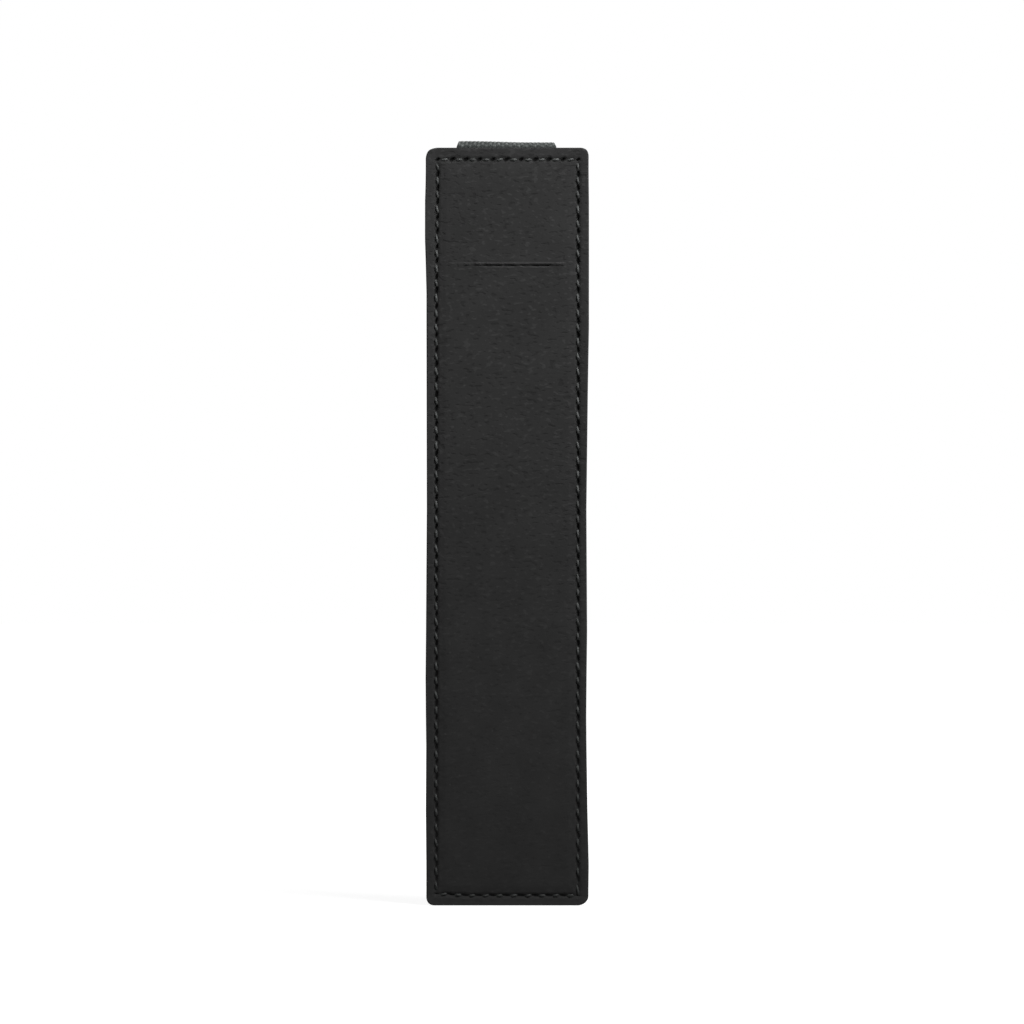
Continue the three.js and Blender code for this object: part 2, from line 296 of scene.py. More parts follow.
SLIT_PLACES = millimetres(
    -12.6, -10.4, -9.9, -9.3, -8.6, -7.9, -7.2, -1.5, -0.9, -0.3, 8.6, 11.0, 13.2, 14.0
)
SLIT_SHARES = (0, 0.2, 0.7, 0.7, 0.3, 0.4, 1, 0.95, 0.5, 1, 0.95, 0.8, 0.75, 0)
SLIT_RIPPLE = 0.15
SLIT_RIPPLE_LENGTHS = millimetres(1.3, 0.7)
SLIT_FADE = 2.5 * MM
SHUT_CREASE = 0.28
SHUT_CREASE_FADE = 0.6 * MM
RIDGE_FADE = millimetres(0.36, 0.62)
FLAP_SWELL = 0.1 * MM
FLAP_SWELL_PLACE = 1.1 * MM
FLAP_SWELL_WIDTH = 0.8 * MM
WORN_SLOPE = millimetres(0.1, 0.5)
LOWER_LIP_FADE = 1.0 * MM
WEAR_START, WEAR_FULL = 0.7, 0.95
# The painted highlight along each lip: how far it follows the shut cut, where it lies and how wide it is
LIP_HIGHLIGHT_CREASE = 0.4
LIP_HIGHLIGHT_ABOVE = 0.66 * MM
LIP_HIGHLIGHT_BELOW = 0.34 * MM
LIP_HIGHLIGHT_WIDTH = 0.15 * MM

# Flare of the border, room for the elastic's tails, and the sheets' waves

FLARE_HEIGHTS = millimetres(-20, 25)
LOW_FLARE = 0.2
TOP_FLARE = 0.3
TAIL_ROOM = 0.02 * MM
TAIL_SIDE = 0.45 * MM
TAIL_SIDE_END = 0.75 * MM
TOP_TAIL_EASING = millimetres(2.2, 0.4)
FOOT_TAIL_EASING = millimetres(0.2, 2)
MEETING_GAP = 0.005 * MM
CALM_BESIDE_SEAM = millimetres(0.5, 4)
LONG_WAVE = millimetres(11.0, 9.0)
LONG_WAVE_BEND = 1.3
LONG_WAVE_SHARE = 0.65
SHORT_WAVE = millimetres(5.3, 6.1)
WAVE_PHASES = (0.4, 2.1)
BACK_WAVE_SHARE = 0.4


class SewnSheets:
    """Where the faces of the two sewn sheets lie at any point across and up the sleeve."""

    def __init__(self, sizes):
        self.sizes = sizes
        self.chance = np.random.default_rng(SEAM_SEED)
        self.seam_half_width = HALF_WIDTH - sizes.seam_inset
        self.seam_half_length = HALF_LENGTH - sizes.end_inset
        self.end_holes = self.holes_on(self.seam_half_width)
        self.side_holes = self.holes_on(self.seam_half_length)
        self.hole_sizes = self.chance.uniform(*HOLE_SIZES, (4, len(self.side_holes)))
        self.hole_sizes[2:, [0, -1]] = SHARED_HOLE_SIZE
        self.hole_sizes[:2, [0, len(self.end_holes) - 1]] = CORNER_HOLE_SIZES

    def holes_on(self, half_run):
        """The middles of the needle holes along one side, a little unevenly spaced."""
        holes = np.array(spaced(-half_run, half_run, self.sizes.stitch_pitch))
        holes[1:-1] += self.chance.uniform(-1, 1, len(holes) - 2) * self.sizes.pitch_stray
        return holes

    def inside_seam(self, across, up):
        """Distance inwards from the seam, negative outside it."""
        return np.minimum(self.seam_half_width - np.abs(across), self.seam_half_length - np.abs(up))

    def inside_cut(self, across, up):
        """Distance inwards from the cut edge."""
        distance = np.minimum(HALF_WIDTH - np.abs(across), HALF_LENGTH - np.abs(up))
        for side, end, radius, there, (right, high) in self.corners(across, up):
            distance = np.where(there, radius * (1 - np.hypot(right, high)), distance)
        return np.maximum(distance, 0)

    def corners(self, across, up):
        """For each corner: its side, end and radius, which points lie in its square, and where they lie in
        the quarter circle that the square is drawn into, from 0 at its inner sides to 1 at the cut."""
        for (side, end), radius in CORNER_RADII.items():
            right = (across * side - HALF_WIDTH) / radius + 1
            high = (up * end - HALF_LENGTH) / radius + 1
            there = (right > 0) & (high > 0)
            right, high = np.clip(right, 0, 1), np.clip(high, 0, 1)
            rounded = (right * np.sqrt(1 - high * high / 2), high * np.sqrt(1 - right * right / 2))
            yield side, end, radius, there, rounded

    def slit_opening(self, across):
        """1 where the slit stands open, 0 at its ends and where it stays shut on the left."""
        long, short = SLIT_RIPPLE_LENGTHS
        uneven = 1 - SLIT_RIPPLE + SLIT_RIPPLE * np.sin(across / long) * np.sin(across / short + 1)
        return uneven * smooth(0, 1, np.interp(across, SLIT_PLACES, SLIT_SHARES))

    def lip_shift(self, across):
        """How far each lip is drawn back from the line of the cut."""
        return self.sizes.slit_gap / 2 * self.slit_opening(across)

    def slit_crease(self, across):
        """1 along the open slit, less along the shut cut, 0 past its ends."""
        shut = SHUT_CREASE * smooth(0, SHUT_CREASE_FADE, SLIT_HALF - np.abs(across))
        return np.maximum(shut, self.slit_opening(across))

    def slit_wear(self, across):
        """How far the lower lip is worn, from 0 where the slit is nearly shut to 1 where it stands open."""
        return smooth(WEAR_START, WEAR_FULL, self.slit_opening(across))

    def place(self, across, up, lip):
        """Grid points moved in the sheet's plane: rounded corners, a hand-trimmed edge and an open slit.
        lip is 1 on the flap over the slit and -1 on the pocket under it."""
        x, z = across.copy(), up.copy()
        for side, end, radius, there, (right, high) in self.corners(across, up):
            x = np.where(there, side * (HALF_WIDTH + radius * (right - 1)), x)
            z = np.where(there, end * (HALF_LENGTH + radius * (high - 1)), z)
        trim_left, trim_right = (np.interp(up, TRIM_HEIGHTS, trim) for trim in (TRIM_LEFT, TRIM_RIGHT))
        edge = smooth(self.seam_half_width, HALF_WIDTH, np.abs(across))
        sway = smooth(*SWAY_HEIGHTS, up) * smooth(0, self.seam_half_width, -across)
        x += edge * np.where(across > 0, trim_right, -trim_left)
        x += (1 - edge) * (SEAM_SHIFT_ACROSS + SEAM_SWAY * sway)
        end = smooth(self.seam_half_length, HALF_LENGTH, np.abs(up))
        near, at = (self.seam_half_length - reach for reach in END_ROW_REACH)
        lift = FOOT_SWAY * (up < 0) * smooth(FOOT_SWAY_START, self.seam_half_width, -across)
        z += (smooth(near, at, np.abs(up)) - end) * (SEAM_SHIFT_UP + lift) - end * (up < 0) * TRIM_FOOT
        over = up - SLIT_HEIGHT
        on_lip = lip * over > -HAIR
        z += lip * self.lip_shift(across) * np.exp(-np.abs(over) / SLIT_FADE) * on_lip
        return x, z

    def stitch_rows(self, across, up):
        """For the rows at the top, the foot, the left and the right: how far each point lies along the seam
        from the nearest needle hole, how far aside, how far past the row's end, the hole's own scale, and the
        form of the row's holes."""
        rows = (
            (across, up - self.seam_half_length, self.end_holes, TOP_HOLES),
            (across, up + self.seam_half_length, self.end_holes, FOOT_HOLES),
            (up, across + self.seam_half_width, self.side_holes, LEFT_HOLES),
            (up, across - self.seam_half_width, self.side_holes, RIGHT_HOLES),
        )
        for (along, aside, holes, form), scales in zip(rows, self.hole_sizes):
            nearest = np.searchsorted(cell_middles(holes), along)
            past = np.maximum(np.abs(along) - holes[-1], 0)
            yield along - holes[nearest], aside, past, scales[nearest], form

    def needle_holes(self, across, up):
        """How far each point is into a needle hole, from 0 at the rim to 1 at the bottom."""
        deepest = np.zeros_like(across)
        for run, aside, past, scale, (long, wide, turn) in self.stitch_rows(across, up):
            lengthwise = (run * math.cos(turn) + aside * math.sin(turn)) / (long / 2 * scale)
            sideways = (aside * math.cos(turn) - run * math.sin(turn)) / (wide / 2 * scale)
            deepest = np.maximum(deepest, 1 - smooth(*HOLE_WALL, np.hypot(lengthwise, sideways)))
        return deepest * (FOOT_HOLE_SHARE + (1 - FOOT_HOLE_SHARE) * smooth(-HALF_LENGTH, FADE_HEIGHT, up))

    def near_hole(self, run):
        """1 at a needle hole, 0 half way to the next."""
        return np.cos(math.pi * run / self.sizes.stitch_pitch) ** 2

    def seam_groove(self, across, up):
        """How far the thread draws the sheet in, from 0 beside the seam to 1 half way between two holes."""
        deepest = np.zeros_like(across)
        for run, aside, past, scale, form in self.stitch_rows(across, up):
            drawn = 1 - HOLE_GROOVE_LOSS * self.near_hole(run)
            deepest = np.maximum(deepest, drawn * bell(np.hypot(aside, past), self.sizes.groove_width))
        return deepest

    def hole_swells(self, across, up):
        """How far the sheet has swollen beside the needle holes, from 0 to 1."""
        fullest = np.zeros_like(across)
        for run, aside, past, scale, form in self.stitch_rows(across, up):
            beside = bell(np.hypot(aside, past) - SWELL_PLACE, SWELL_WIDTH)
            fullest = np.maximum(fullest, beside * self.near_hole(run))
        return fullest

    def waves(self, across, up):
        """Soft waves over the whole sheet, from about -1 to 1."""
        bend = LONG_WAVE_BEND * np.sin(across / LONG_WAVE[1])
        long = np.sin(up / LONG_WAVE[0] + bend + WAVE_PHASES[0])
        short = np.sin(up / SHORT_WAVE[0] - across / SHORT_WAVE[1] + WAVE_PHASES[1])
        return LONG_WAVE_SHARE * long + (1 - LONG_WAVE_SHARE) * short

    def wave_height(self, across, up):
        """The height that the waves may have, none beside the seam."""
        return self.sizes.wave * smooth(*CALM_BESIDE_SEAM, self.inside_seam(across, up))

    def sewn_form(self, across, up):
        """How far a sheet's outer face stands out from its flat place, at the seam and the cut edge."""
        sizes = self.sizes
        groove = sizes.groove_depth * self.seam_groove(across, up)
        swell = sizes.hole_swell * self.hole_swells(across, up)
        holes = sizes.hole_depth * self.needle_holes(across, up)
        return swell - groove - holes - rounding(self.inside_cut(across, up), sizes.edge_radius)

    def pocket_rise(self, across, up):
        """How far the front sheet stands out over the pocket's slack."""
        inwards = self.inside_seam(across, up)
        return self.sizes.pocket_rise * smooth(self.sizes.slope_start, self.sizes.slope_end, inwards)

    def lips(self, across, up):
        """How far the slit's lips stand out: a fine ridge along the upper one, a worn slope on the lower."""
        sizes = self.sizes
        above, below = np.maximum(up - SLIT_HEIGHT, 0), np.maximum(SLIT_HEIGHT - up, 0)
        ridge = sizes.lip_rise * (1 - smooth(*RIDGE_FADE, above)) - rounding(above, sizes.lip_radius)
        upper = ridge + FLAP_SWELL * bell(above - FLAP_SWELL_PLACE, FLAP_SWELL_WIDTH)
        slope = sizes.lip_fall * (1 - smooth(*WORN_SLOPE, below))
        lower = sizes.lip_rise * np.exp(-below / LOWER_LIP_FADE)
        crease, wear = self.slit_crease(across), self.slit_wear(across)
        return np.where(up > SLIT_HEIGHT, crease * upper, crease * lower - wear * slope)

    def lip_highlights(self, across, up):
        """Painted highlight along the lips of the slit, from 0 to 1: a fine pale line along each, the lower
        one only where it is worn.
        """
        above = up - SLIT_HEIGHT + self.lip_shift(across) - LIP_HIGHLIGHT_ABOVE
        below = SLIT_HEIGHT - up - LIP_HIGHLIGHT_BELOW
        upper = smooth(0, LIP_HIGHLIGHT_CREASE, self.slit_crease(across)) * bell(above, LIP_HIGHLIGHT_WIDTH)
        return np.maximum(upper, self.slit_wear(across) * bell(below, LIP_HIGHLIGHT_WIDTH))

    def flare(self, across, up):
        """How far the front's border stands out, most at the foot and along the upper half of the sides."""
        sizes = self.sizes
        beside = np.clip((np.abs(across) - self.seam_half_width) / sizes.seam_inset, 0, 1)
        beyond = np.clip((np.abs(up) - self.seam_half_length) / sizes.end_inset, 0, 1)
        beside = beside * (LOW_FLARE + (1 - LOW_FLARE) * smooth(*FLARE_HEIGHTS, up))
        return sizes.border_flare * np.maximum(beside, beyond * np.where(up < 0, 1, TOP_FLARE))

    def tail_room(self, across, up):
        """1 where an elastic tail lies between the sheets, 0 elsewhere."""
        beside = 1 - smooth(BAND_HALF + TAIL_SIDE, BAND_HALF + TAIL_SIDE_END, np.abs(across))
        top = smooth(*(TOP_TAIL_LOW.z - step for step in TOP_TAIL_EASING), up)
        bottom = 1 - smooth(*(SLOT_HIGH + step for step in FOOT_TAIL_EASING), up)
        return beside * np.maximum(top, bottom)

    def front_outside(self, across, up):
        """Depth of the front sheet's outer face."""
        out = self.sewn_form(across, up) + self.pocket_rise(across, up)
        out = out + self.lips(across, up) + self.flare(across, up)
        return FRONT_FACE - out - self.wave_height(across, up) * self.waves(across, up)

    def front_inside(self, across, up):
        """Depth of the front sheet's inner face."""
        tail = (MEETING - TOP_TAIL_LOW.y + TAIL_ROOM) * self.tail_room(across, up)
        slack = np.maximum(self.pocket_rise(across, up), tail)
        return MEETING - MEETING_GAP - slack - rounding(self.inside_cut(across, up), INNER_EDGE_RADIUS)

    def back_inside(self, across, up):
        """Depth of the back sheet's inner face."""
        tail = (TOP_TAIL_HIGH.y - MEETING + TAIL_ROOM) * self.tail_room(across, up)
        return MEETING + MEETING_GAP + tail + rounding(self.inside_cut(across, up), INNER_EDGE_RADIUS)

    def back_outside(self, across, up):
        """Depth of the back sheet's outer face."""
        wave = BACK_WAVE_SHARE * self.wave_height(across, up) * (1 + self.waves(across, up))
        return REAR_FACE + self.sewn_form(across, up) - wave


# Grid lines of the sheets, as steps from the cut edge, the seam, the slit and the needle holes

PLAIN_STEP = 1.1 * MM
POCKET_CELL = 0.5 * MM
CLOSEST_LINES = 0.1 * MM
EDGE_LINES = millimetres(0, 0.03, 0.09, 0.17, 0.27, 0.4, 0.7, 1.05, 1.4)
SEAM_LINES = millimetres(-0.62, -0.4, -0.26, -0.13, 0, 0.13, 0.26, 0.4, 0.62)
SLOPE_LINES = millimetres(0.9, 1.2, 1.55, 1.9, 2.25)
LIP_LINES = millimetres(0, 0.04, 0.11, 0.2, 0.28, 0.36, 0.44, 0.52, 0.62, 0.8, 1.2, 1.8)
FRONT_HOLE_LINES = millimetres(-1.2, -0.93, -0.68, -0.42, -0.16, 0.16, 0.42, 0.68, 0.93, 1.2)
BACK_HOLE_LINES = millimetres(-1.1, -0.65, 0, 0.65, 1.1)


def sheet_lines(sheets, hole_lines):
    """The grid lines across and up a whole sewn sheet."""
    tail_lines = mirrored([BAND_HALF + TAIL_SIDE, BAND_HALF + TAIL_SIDE_END, SLIT_HALF])
    slit_lines = [SLIT_HEIGHT + step for step in LIP_LINES] + [POCKET_FOOT, SLOT_LOW, SLOT_HIGH]
    ways = (
        (HALF_WIDTH, sheets.seam_half_width, sheets.end_holes, tail_lines),
        (HALF_LENGTH, sheets.seam_half_length, sheets.side_holes, slit_lines),
    )
    made = []
    for half, seam, holes, own_lines in ways:
        needed = [half - step for step in EDGE_LINES]
        needed += [seam + step for step in SEAM_LINES]
        needed += [seam - step for step in SLOPE_LINES]
        wanted = [hole + step for hole in holes for step in hole_lines] + spaced(-half, half, PLAIN_STEP)
        made.append(merged(mirrored(needed) + own_lines, wanted, CLOSEST_LINES))
    return made


def grid_points(sheets, across, up, lip, outer, inner):
    """The front and rear points of a grid of lines, each grid point's number, and its flat place."""
    wide, high = np.meshgrid(across, up)
    x, z = sheets.place(wide, high, lip)
    front = np.stack([x, outer(wide, high), z], -1).reshape(-1, 3)
    rear = np.stack([x, inner(wide, high), z], -1).reshape(-1, 3)
    return (front, rear), np.arange(wide.size).reshape(wide.shape), (wide.ravel(), high.ravel())


def cells_of(numbers, keep):
    """The kept cells of a grid, each as its four points, anticlockwise from the front."""
    low_left, low_right = numbers[:-1, :-1], numbers[:-1, 1:]
    high_right, high_left = numbers[1:, 1:], numbers[1:, :-1]
    return np.stack([low_left, low_right, high_right, high_left], -1)[keep]


def around_window(across, up, half_width, low, high):
    """Which cells of a grid lie outside a window in it."""
    beside = np.abs(cell_middles(across)) > half_width
    past = (cell_middles(up) < low) | (cell_middles(up) > high)
    return beside[None, :] | past[:, None]


# Meshes


def closed_sheet(name, outline, faces):
    """A closed sheet as a mesh, with each point's place in the grid and each face's side, which is 0 at the
    front, 1 at the rear and 2 on the rim. outline gives the front points and the rear points of one grid, and
    faces are arrays of its cells, each cell's grid points anticlockwise from the front."""
    front, rear = outline
    count = len(front)
    starts = np.concatenate([cells.ravel() for cells in faces])
    ends = np.concatenate([np.roll(cells, -1, axis=1).ravel() for cells in faces])
    alone = ~np.isin(starts * count + ends, ends * count + starts)
    rim_start, rim_end = starts[alone], ends[alone]
    rim = np.stack([rim_end, rim_start, rim_start + count, rim_end + count], 1)
    behind = [cells[:, ::-1] + count for cells in faces]
    layers = [*faces, *behind, rim]
    used = np.unique(np.concatenate([cells.ravel() for cells in layers]))
    renumbered = np.zeros(2 * count, dtype=np.int64)
    renumbered[used] = np.arange(len(used))
    mesh = bpy.data.meshes.new(name)
    points = np.concatenate([front, rear])[used]
    mesh.from_pydata(points.tolist(), [], [cell for cells in layers for cell in renumbered[cells].tolist()])
    mesh.shade_smooth()
    mark_sharp(mesh, renumbered[np.concatenate([rim[:, :2], rim[:, 2:]])])
    covered = sum(len(cells) for cells in faces)
    return mesh, used % count, np.repeat([0, 1, 2], [covered, covered, len(rim)])


def mark_sharp(mesh, pairs):
    """Keeps the shading of the faces apart along these edges, given as pairs of points."""
    count = len(mesh.vertices)
    ends = np.zeros(2 * len(mesh.edges), dtype=np.int32)
    mesh.edges.foreach_get("vertices", ends)
    ends = np.sort(ends.reshape(-1, 2).astype(np.int64), axis=1)
    wanted = np.sort(pairs, axis=1)
    flags = np.isin(ends[:, 0] * count + ends[:, 1], wanted[:, 0] * count + wanted[:, 1])
    mesh.attributes.new("sharp_edge", "BOOLEAN", "EDGE").data.foreach_set("value", flags)


def sheet_piece(name, made, sheets, flat_places, materials, inner_side):
    """The object of one sheet, with the masks that its material reads and backing cloth on its inside."""
    mesh, kept, side = made
    across, up = flat_places[0][kept], flat_places[1][kept]
    masks = {
        "needle_hole": sheets.needle_holes(across, up),
        "cut_edge": 1 - smooth(*CUT_EDGE_FADE, sheets.inside_cut(across, up)),
        "seam_line": sheets.seam_groove(across, up),
        "lip_highlight_mask": sheets.lip_highlights(across, up),
    }
    for mask, values in masks.items():
        mesh.attributes.new(mask, "FLOAT", "POINT").data.foreach_set("value", values.astype(np.float32))
    for material in materials:
        mesh.materials.append(material)
    mesh.polygons.foreach_set("material_index", (side == inner_side).astype(np.int32))
    return linked(name, mesh)


def line_mesh(name, points, edges):
    """A mesh of edges alone, for a tree to grow a piece on."""
    mesh = bpy.data.meshes.new(name + "_line")
    mesh.from_pydata(points, edges, [])
    return mesh


def linked(name, data):
    """A new object in the scene."""
    thing = bpy.data.objects.new(name, data)
    bpy.context.scene.collection.objects.link(thing)
    return thing


def grown(name, base, tree, values):
    """A plain mesh piece that a Geometry Nodes tree grows from a base mesh with the named values."""
    maker = linked(name + "_maker", base)
    modifier = maker.modifiers.new(tree.name, "NODES")
    modifier.node_group = tree
    for item in tree.interface.items_tree:
        if item.in_out == "INPUT" and item.name in values:
            modifier[item.identifier] = values[item.name]
    evaluated = maker.evaluated_get(bpy.context.evaluated_depsgraph_get())
    mesh = bpy.data.meshes.new_from_object(evaluated)
    bpy.data.objects.remove(maker)
    mesh.name = name
    return linked(name, mesh)


# Nodes


def new_tree(name, kind, inputs, outputs):
    """A node tree, what its inputs give, and its output node. Sockets are the labels of each kind."""
    tree = bpy.data.node_groups.new(name, kind)
    for way, sockets in (("INPUT", inputs), ("OUTPUT", outputs)):
        for socket, labels in sockets.items():
            for label in labels:
                tree.interface.new_socket(label, in_out=way, socket_type="NodeSocket" + socket)
    return tree, tree.nodes.new("NodeGroupInput").outputs, tree.nodes.new("NodeGroupOutput")


def fill(tree, node, inputs):
    """Gives a node its inputs; one that is another node's output is linked."""
    for key, value in inputs.items():
        if isinstance(value, bpy.types.NodeSocket):
            tree.links.new(value, node.inputs[key])
        else:
            node.inputs[key].default_value = value


def put(tree, kind, inputs=None, **settings):
    """The outputs of a new node with its settings and inputs."""
    node = tree.nodes.new(kind)
    for key, value in settings.items():
        setattr(node, key, value)
    fill(tree, node, inputs or {})
    return node.outputs


def math_node(tree, operation, first, second=0.0):
    """The result of a sum on two values."""
    return put(tree, "ShaderNodeMath", {0: first, 1: second}, operation=operation)[0]


def plus(tree, first, second):
    """The sum of two values."""
    return math_node(tree, "ADD", first, second)


def times(tree, first, *factors):
    """The product of two or more values."""
    for factor in factors:
        first = math_node(tree, "MULTIPLY", first, factor)
    return first


def ranged(tree, value, low, high, to_low=0.0, to_high=1.0):
    """A value carried smoothly from one range to another."""
    inputs = {"Value": value, "From Min": low, "From Max": high, "To Min": to_low, "To Max": to_high}
    return put(tree, "ShaderNodeMapRange", inputs, interpolation_type="SMOOTHSTEP")["Result"]


def vector_node(tree, operation, first, second=(0, 0, 0)):
    """The result of a sum on two vectors."""
    return put(tree, "ShaderNodeVectorMath", {0: first, 1: second}, operation=operation)["Vector"]


def length_of(tree, vector):
    """The length of a vector."""
    return put(tree, "ShaderNodeVectorMath", {0: vector}, operation="LENGTH")["Value"]


def vector_of(tree, x=0.0, y=0.0, z=0.0):
    """A vector of three values."""
    return put(tree, "ShaderNodeCombineXYZ", {"X": x, "Y": y, "Z": z})[0]


def parts_of(tree, vector):
    """The three values of a vector, as X, Y and Z."""
    return put(tree, "ShaderNodeSeparateXYZ", {"Vector": vector})


def stored(tree, geometry, name, value):
    """Geometry whose points carry a named value."""
    inputs = {"Geometry": geometry, "Name": name, "Value": value}
    kind = {"data_type": "FLOAT", "domain": "POINT"}
    return put(tree, "GeometryNodeStoreNamedAttribute", inputs, **kind)["Geometry"]


def moved(tree, geometry, offset):
    """Geometry whose points are moved by a vector."""
    return put(tree, "GeometryNodeSetPosition", {"Geometry": geometry, "Offset": offset})["Geometry"]


def swept(tree, curve, section):
    """A closed solid made by a section that runs along a curve."""
    inputs = {"Curve": curve, "Profile Curve": section, "Fill Caps": True}
    return put(tree, "GeometryNodeCurveToMesh", inputs)["Mesh"]


def shaded_smooth(tree, geometry):
    """Geometry with smooth shading."""
    return put(tree, "GeometryNodeSetShadeSmooth", {"Geometry": geometry})["Geometry"]


def finished(tree, geometry, material):
    """Geometry without instances, in its material."""
    plain = put(tree, "GeometryNodeRealizeInstances", {"Geometry": geometry})["Geometry"]
    return put(tree, "GeometryNodeSetMaterial", {"Geometry": plain, "Material": material})["Geometry"]


def chance_value(tree, low, high, seed):
    """A random value for each point."""
    inputs = {2: low, 3: high, "Seed": seed}
    return put(tree, "FunctionNodeRandomValue", inputs, data_type="FLOAT")[1]


# The tree that lays the stitches

STITCH_STEPS = 9
STITCH_SIDES = 7
PULL_RANGE = (0.93, 1.07)


def stitch_tree():
    """Lays one arched stitch of thread on every edge of the seam line."""
    inputs = {
        "Geometry": ["Seam"],
        "Float": ["Stitch Length", "Leg Gap", "Thread", "Crown", "Leg Depth", "Slant", "Wander"],
        "Vector": ["Outwards"],
        "Int": ["Seed"],
        "Material": ["Finish"],
    }
    tree, given, result = new_tree("lay_stitches", "GeometryNodeTree", inputs, {"Geometry": ["Stitches"]})
    ends = put(tree, "GeometryNodeInputMeshEdgeVertices")
    line = vector_node(tree, "SUBTRACT", ends["Position 2"], ends["Position 1"])
    capture = tree.nodes.new("GeometryNodeCaptureAttribute")
    capture.domain = "EDGE"
    capture.capture_items.new("VECTOR", "Line")
    fill(tree, capture, {"Geometry": given["Seam"], "Line": line})
    line = capture.outputs["Line"]
    middles = put(tree, "GeometryNodeMeshToPoints", {"Mesh": capture.outputs["Geometry"]}, mode="EDGES")
    stray = chance_value(tree, times(tree, given["Wander"], -1.0), given["Wander"], given["Seed"])
    pull = chance_value(tree, *PULL_RANGE, plus(tree, given["Seed"], 1.0))
    lengthened = math_node(tree, "DIVIDE", length_of(tree, line), given["Stitch Length"])
    values = {
        "Points": middles["Points"],
        "Instance": arched_stitch(tree, given),
        "Rotation": stitch_turn(tree, given, line, stray),
        "Scale": vector_of(tree, lengthened, pull, pull),
    }
    laid = put(tree, "GeometryNodeInstanceOnPoints", values)["Instances"]
    fill(tree, result, {"Stitches": finished(tree, laid, given["Finish"])})
    return tree


def arched_stitch(tree, given):
    """One stitch along X: a cubic curve whose ends go into the holes and whose middle reaches the crown.
    The middle of such a curve lies at three quarters of its handles' height and a quarter of its ends'."""
    half = times(tree, math_node(tree, "SUBTRACT", given["Stitch Length"], given["Leg Gap"]), 0.5)
    down = times(tree, given["Leg Depth"], -1.0)
    rise = plus(tree, times(tree, given["Crown"], 4 / 3), times(tree, given["Leg Depth"], 1 / 3))
    spots = {
        "Start": (-1.0, down),
        "Start Handle": (-0.5, rise),
        "End Handle": (0.5, rise),
        "End": (1.0, down),
    }
    points = {
        label: vector_of(tree, times(tree, half, share), 0.0, height)
        for label, (share, height) in spots.items()
    }
    inputs = {"Resolution": STITCH_STEPS, **points}
    arch = put(tree, "GeometryNodeCurvePrimitiveBezierSegment", inputs, mode="POSITION")["Curve"]
    parameter = put(tree, "GeometryNodeSplineParameter")
    arch = stored(tree, arch, "along", parameter["Length"])
    inputs = {"Resolution": STITCH_SIDES, "Radius": times(tree, given["Thread"], 0.5)}
    strand = put(tree, "GeometryNodeCurvePrimitiveCircle", inputs)["Curve"]
    strand = stored(tree, strand, "around", parameter["Factor"])
    return shaded_smooth(tree, swept(tree, arch, strand))


def stitch_turn(tree, given, line, stray):
    """How a stitch is turned: along its line, out of the sheet, with a slant and a stray of its own."""
    axes = {"Primary Axis": given["Outwards"], "Secondary Axis": line}
    facing = put(tree, "FunctionNodeAxesToRotation", axes, primary_axis="Z", secondary_axis="X")["Rotation"]
    slant = vector_of(tree, z=plus(tree, given["Slant"], stray))
    turn = put(tree, "FunctionNodeEulerToRotation", {"Euler": slant})["Rotation"]
    inputs = {"Rotation": facing, "Rotate By": turn}
    return put(tree, "FunctionNodeRotateRotation", inputs, rotation_space="LOCAL")["Rotation"]


# The tree that makes the elastic

EDGE_ROUNDING = 0.42
EDGE_STEPS = 4
SECTION_STEP = 0.2 * MM
FURROW_POWER = 2.0
LEAN_SPAN = millimetres(-9, 6)
LEAN_SHARES = (0.92, -0.04)


def band_tree():
    """Sweeps the ribbed section of the elastic along its middle line."""
    inputs = {
        "Geometry": ["Middle Line"],
        "Float": ["Width", "Thickness", "Rib Depth", "Fold Start", "Fold End", "Fold Draw", "Fold Lean"],
        "Int": ["Ribs"],
        "Material": ["Finish"],
    }
    tree, given, result = new_tree("ribbed_band", "GeometryNodeTree", inputs, {"Geometry": ["Band"]})
    place = parts_of(tree, put(tree, "GeometryNodeInputPosition")["Position"])
    line = put(tree, "GeometryNodeMeshToCurve", {"Mesh": given["Middle Line"]})["Curve"]
    flat = {"Curve": line, "Normal": (1.0, 0.0, 0.0)}
    line = put(tree, "GeometryNodeSetCurveNormal", flat, mode="FREE")["Curve"]
    line = stored(tree, line, "along", put(tree, "GeometryNodeSplineParameter")["Length"])
    band = swept(tree, line, ribbed_section(tree, given, place))
    folded = ranged(tree, place["Z"], given["Fold Start"], given["Fold End"])
    draw = math_node(tree, "DIVIDE", given["Fold Draw"], given["Width"])
    drawn = times(tree, folded, draw, place["X"], -2.0)
    leaning = times(tree, ranged(tree, place["X"], *LEAN_SPAN, *LEAN_SHARES), given["Fold Lean"], folded)
    band = shaded_smooth(tree, moved(tree, band, vector_of(tree, x=drawn, z=leaning)))
    fill(tree, result, {"Band": finished(tree, band, given["Finish"])})
    return tree


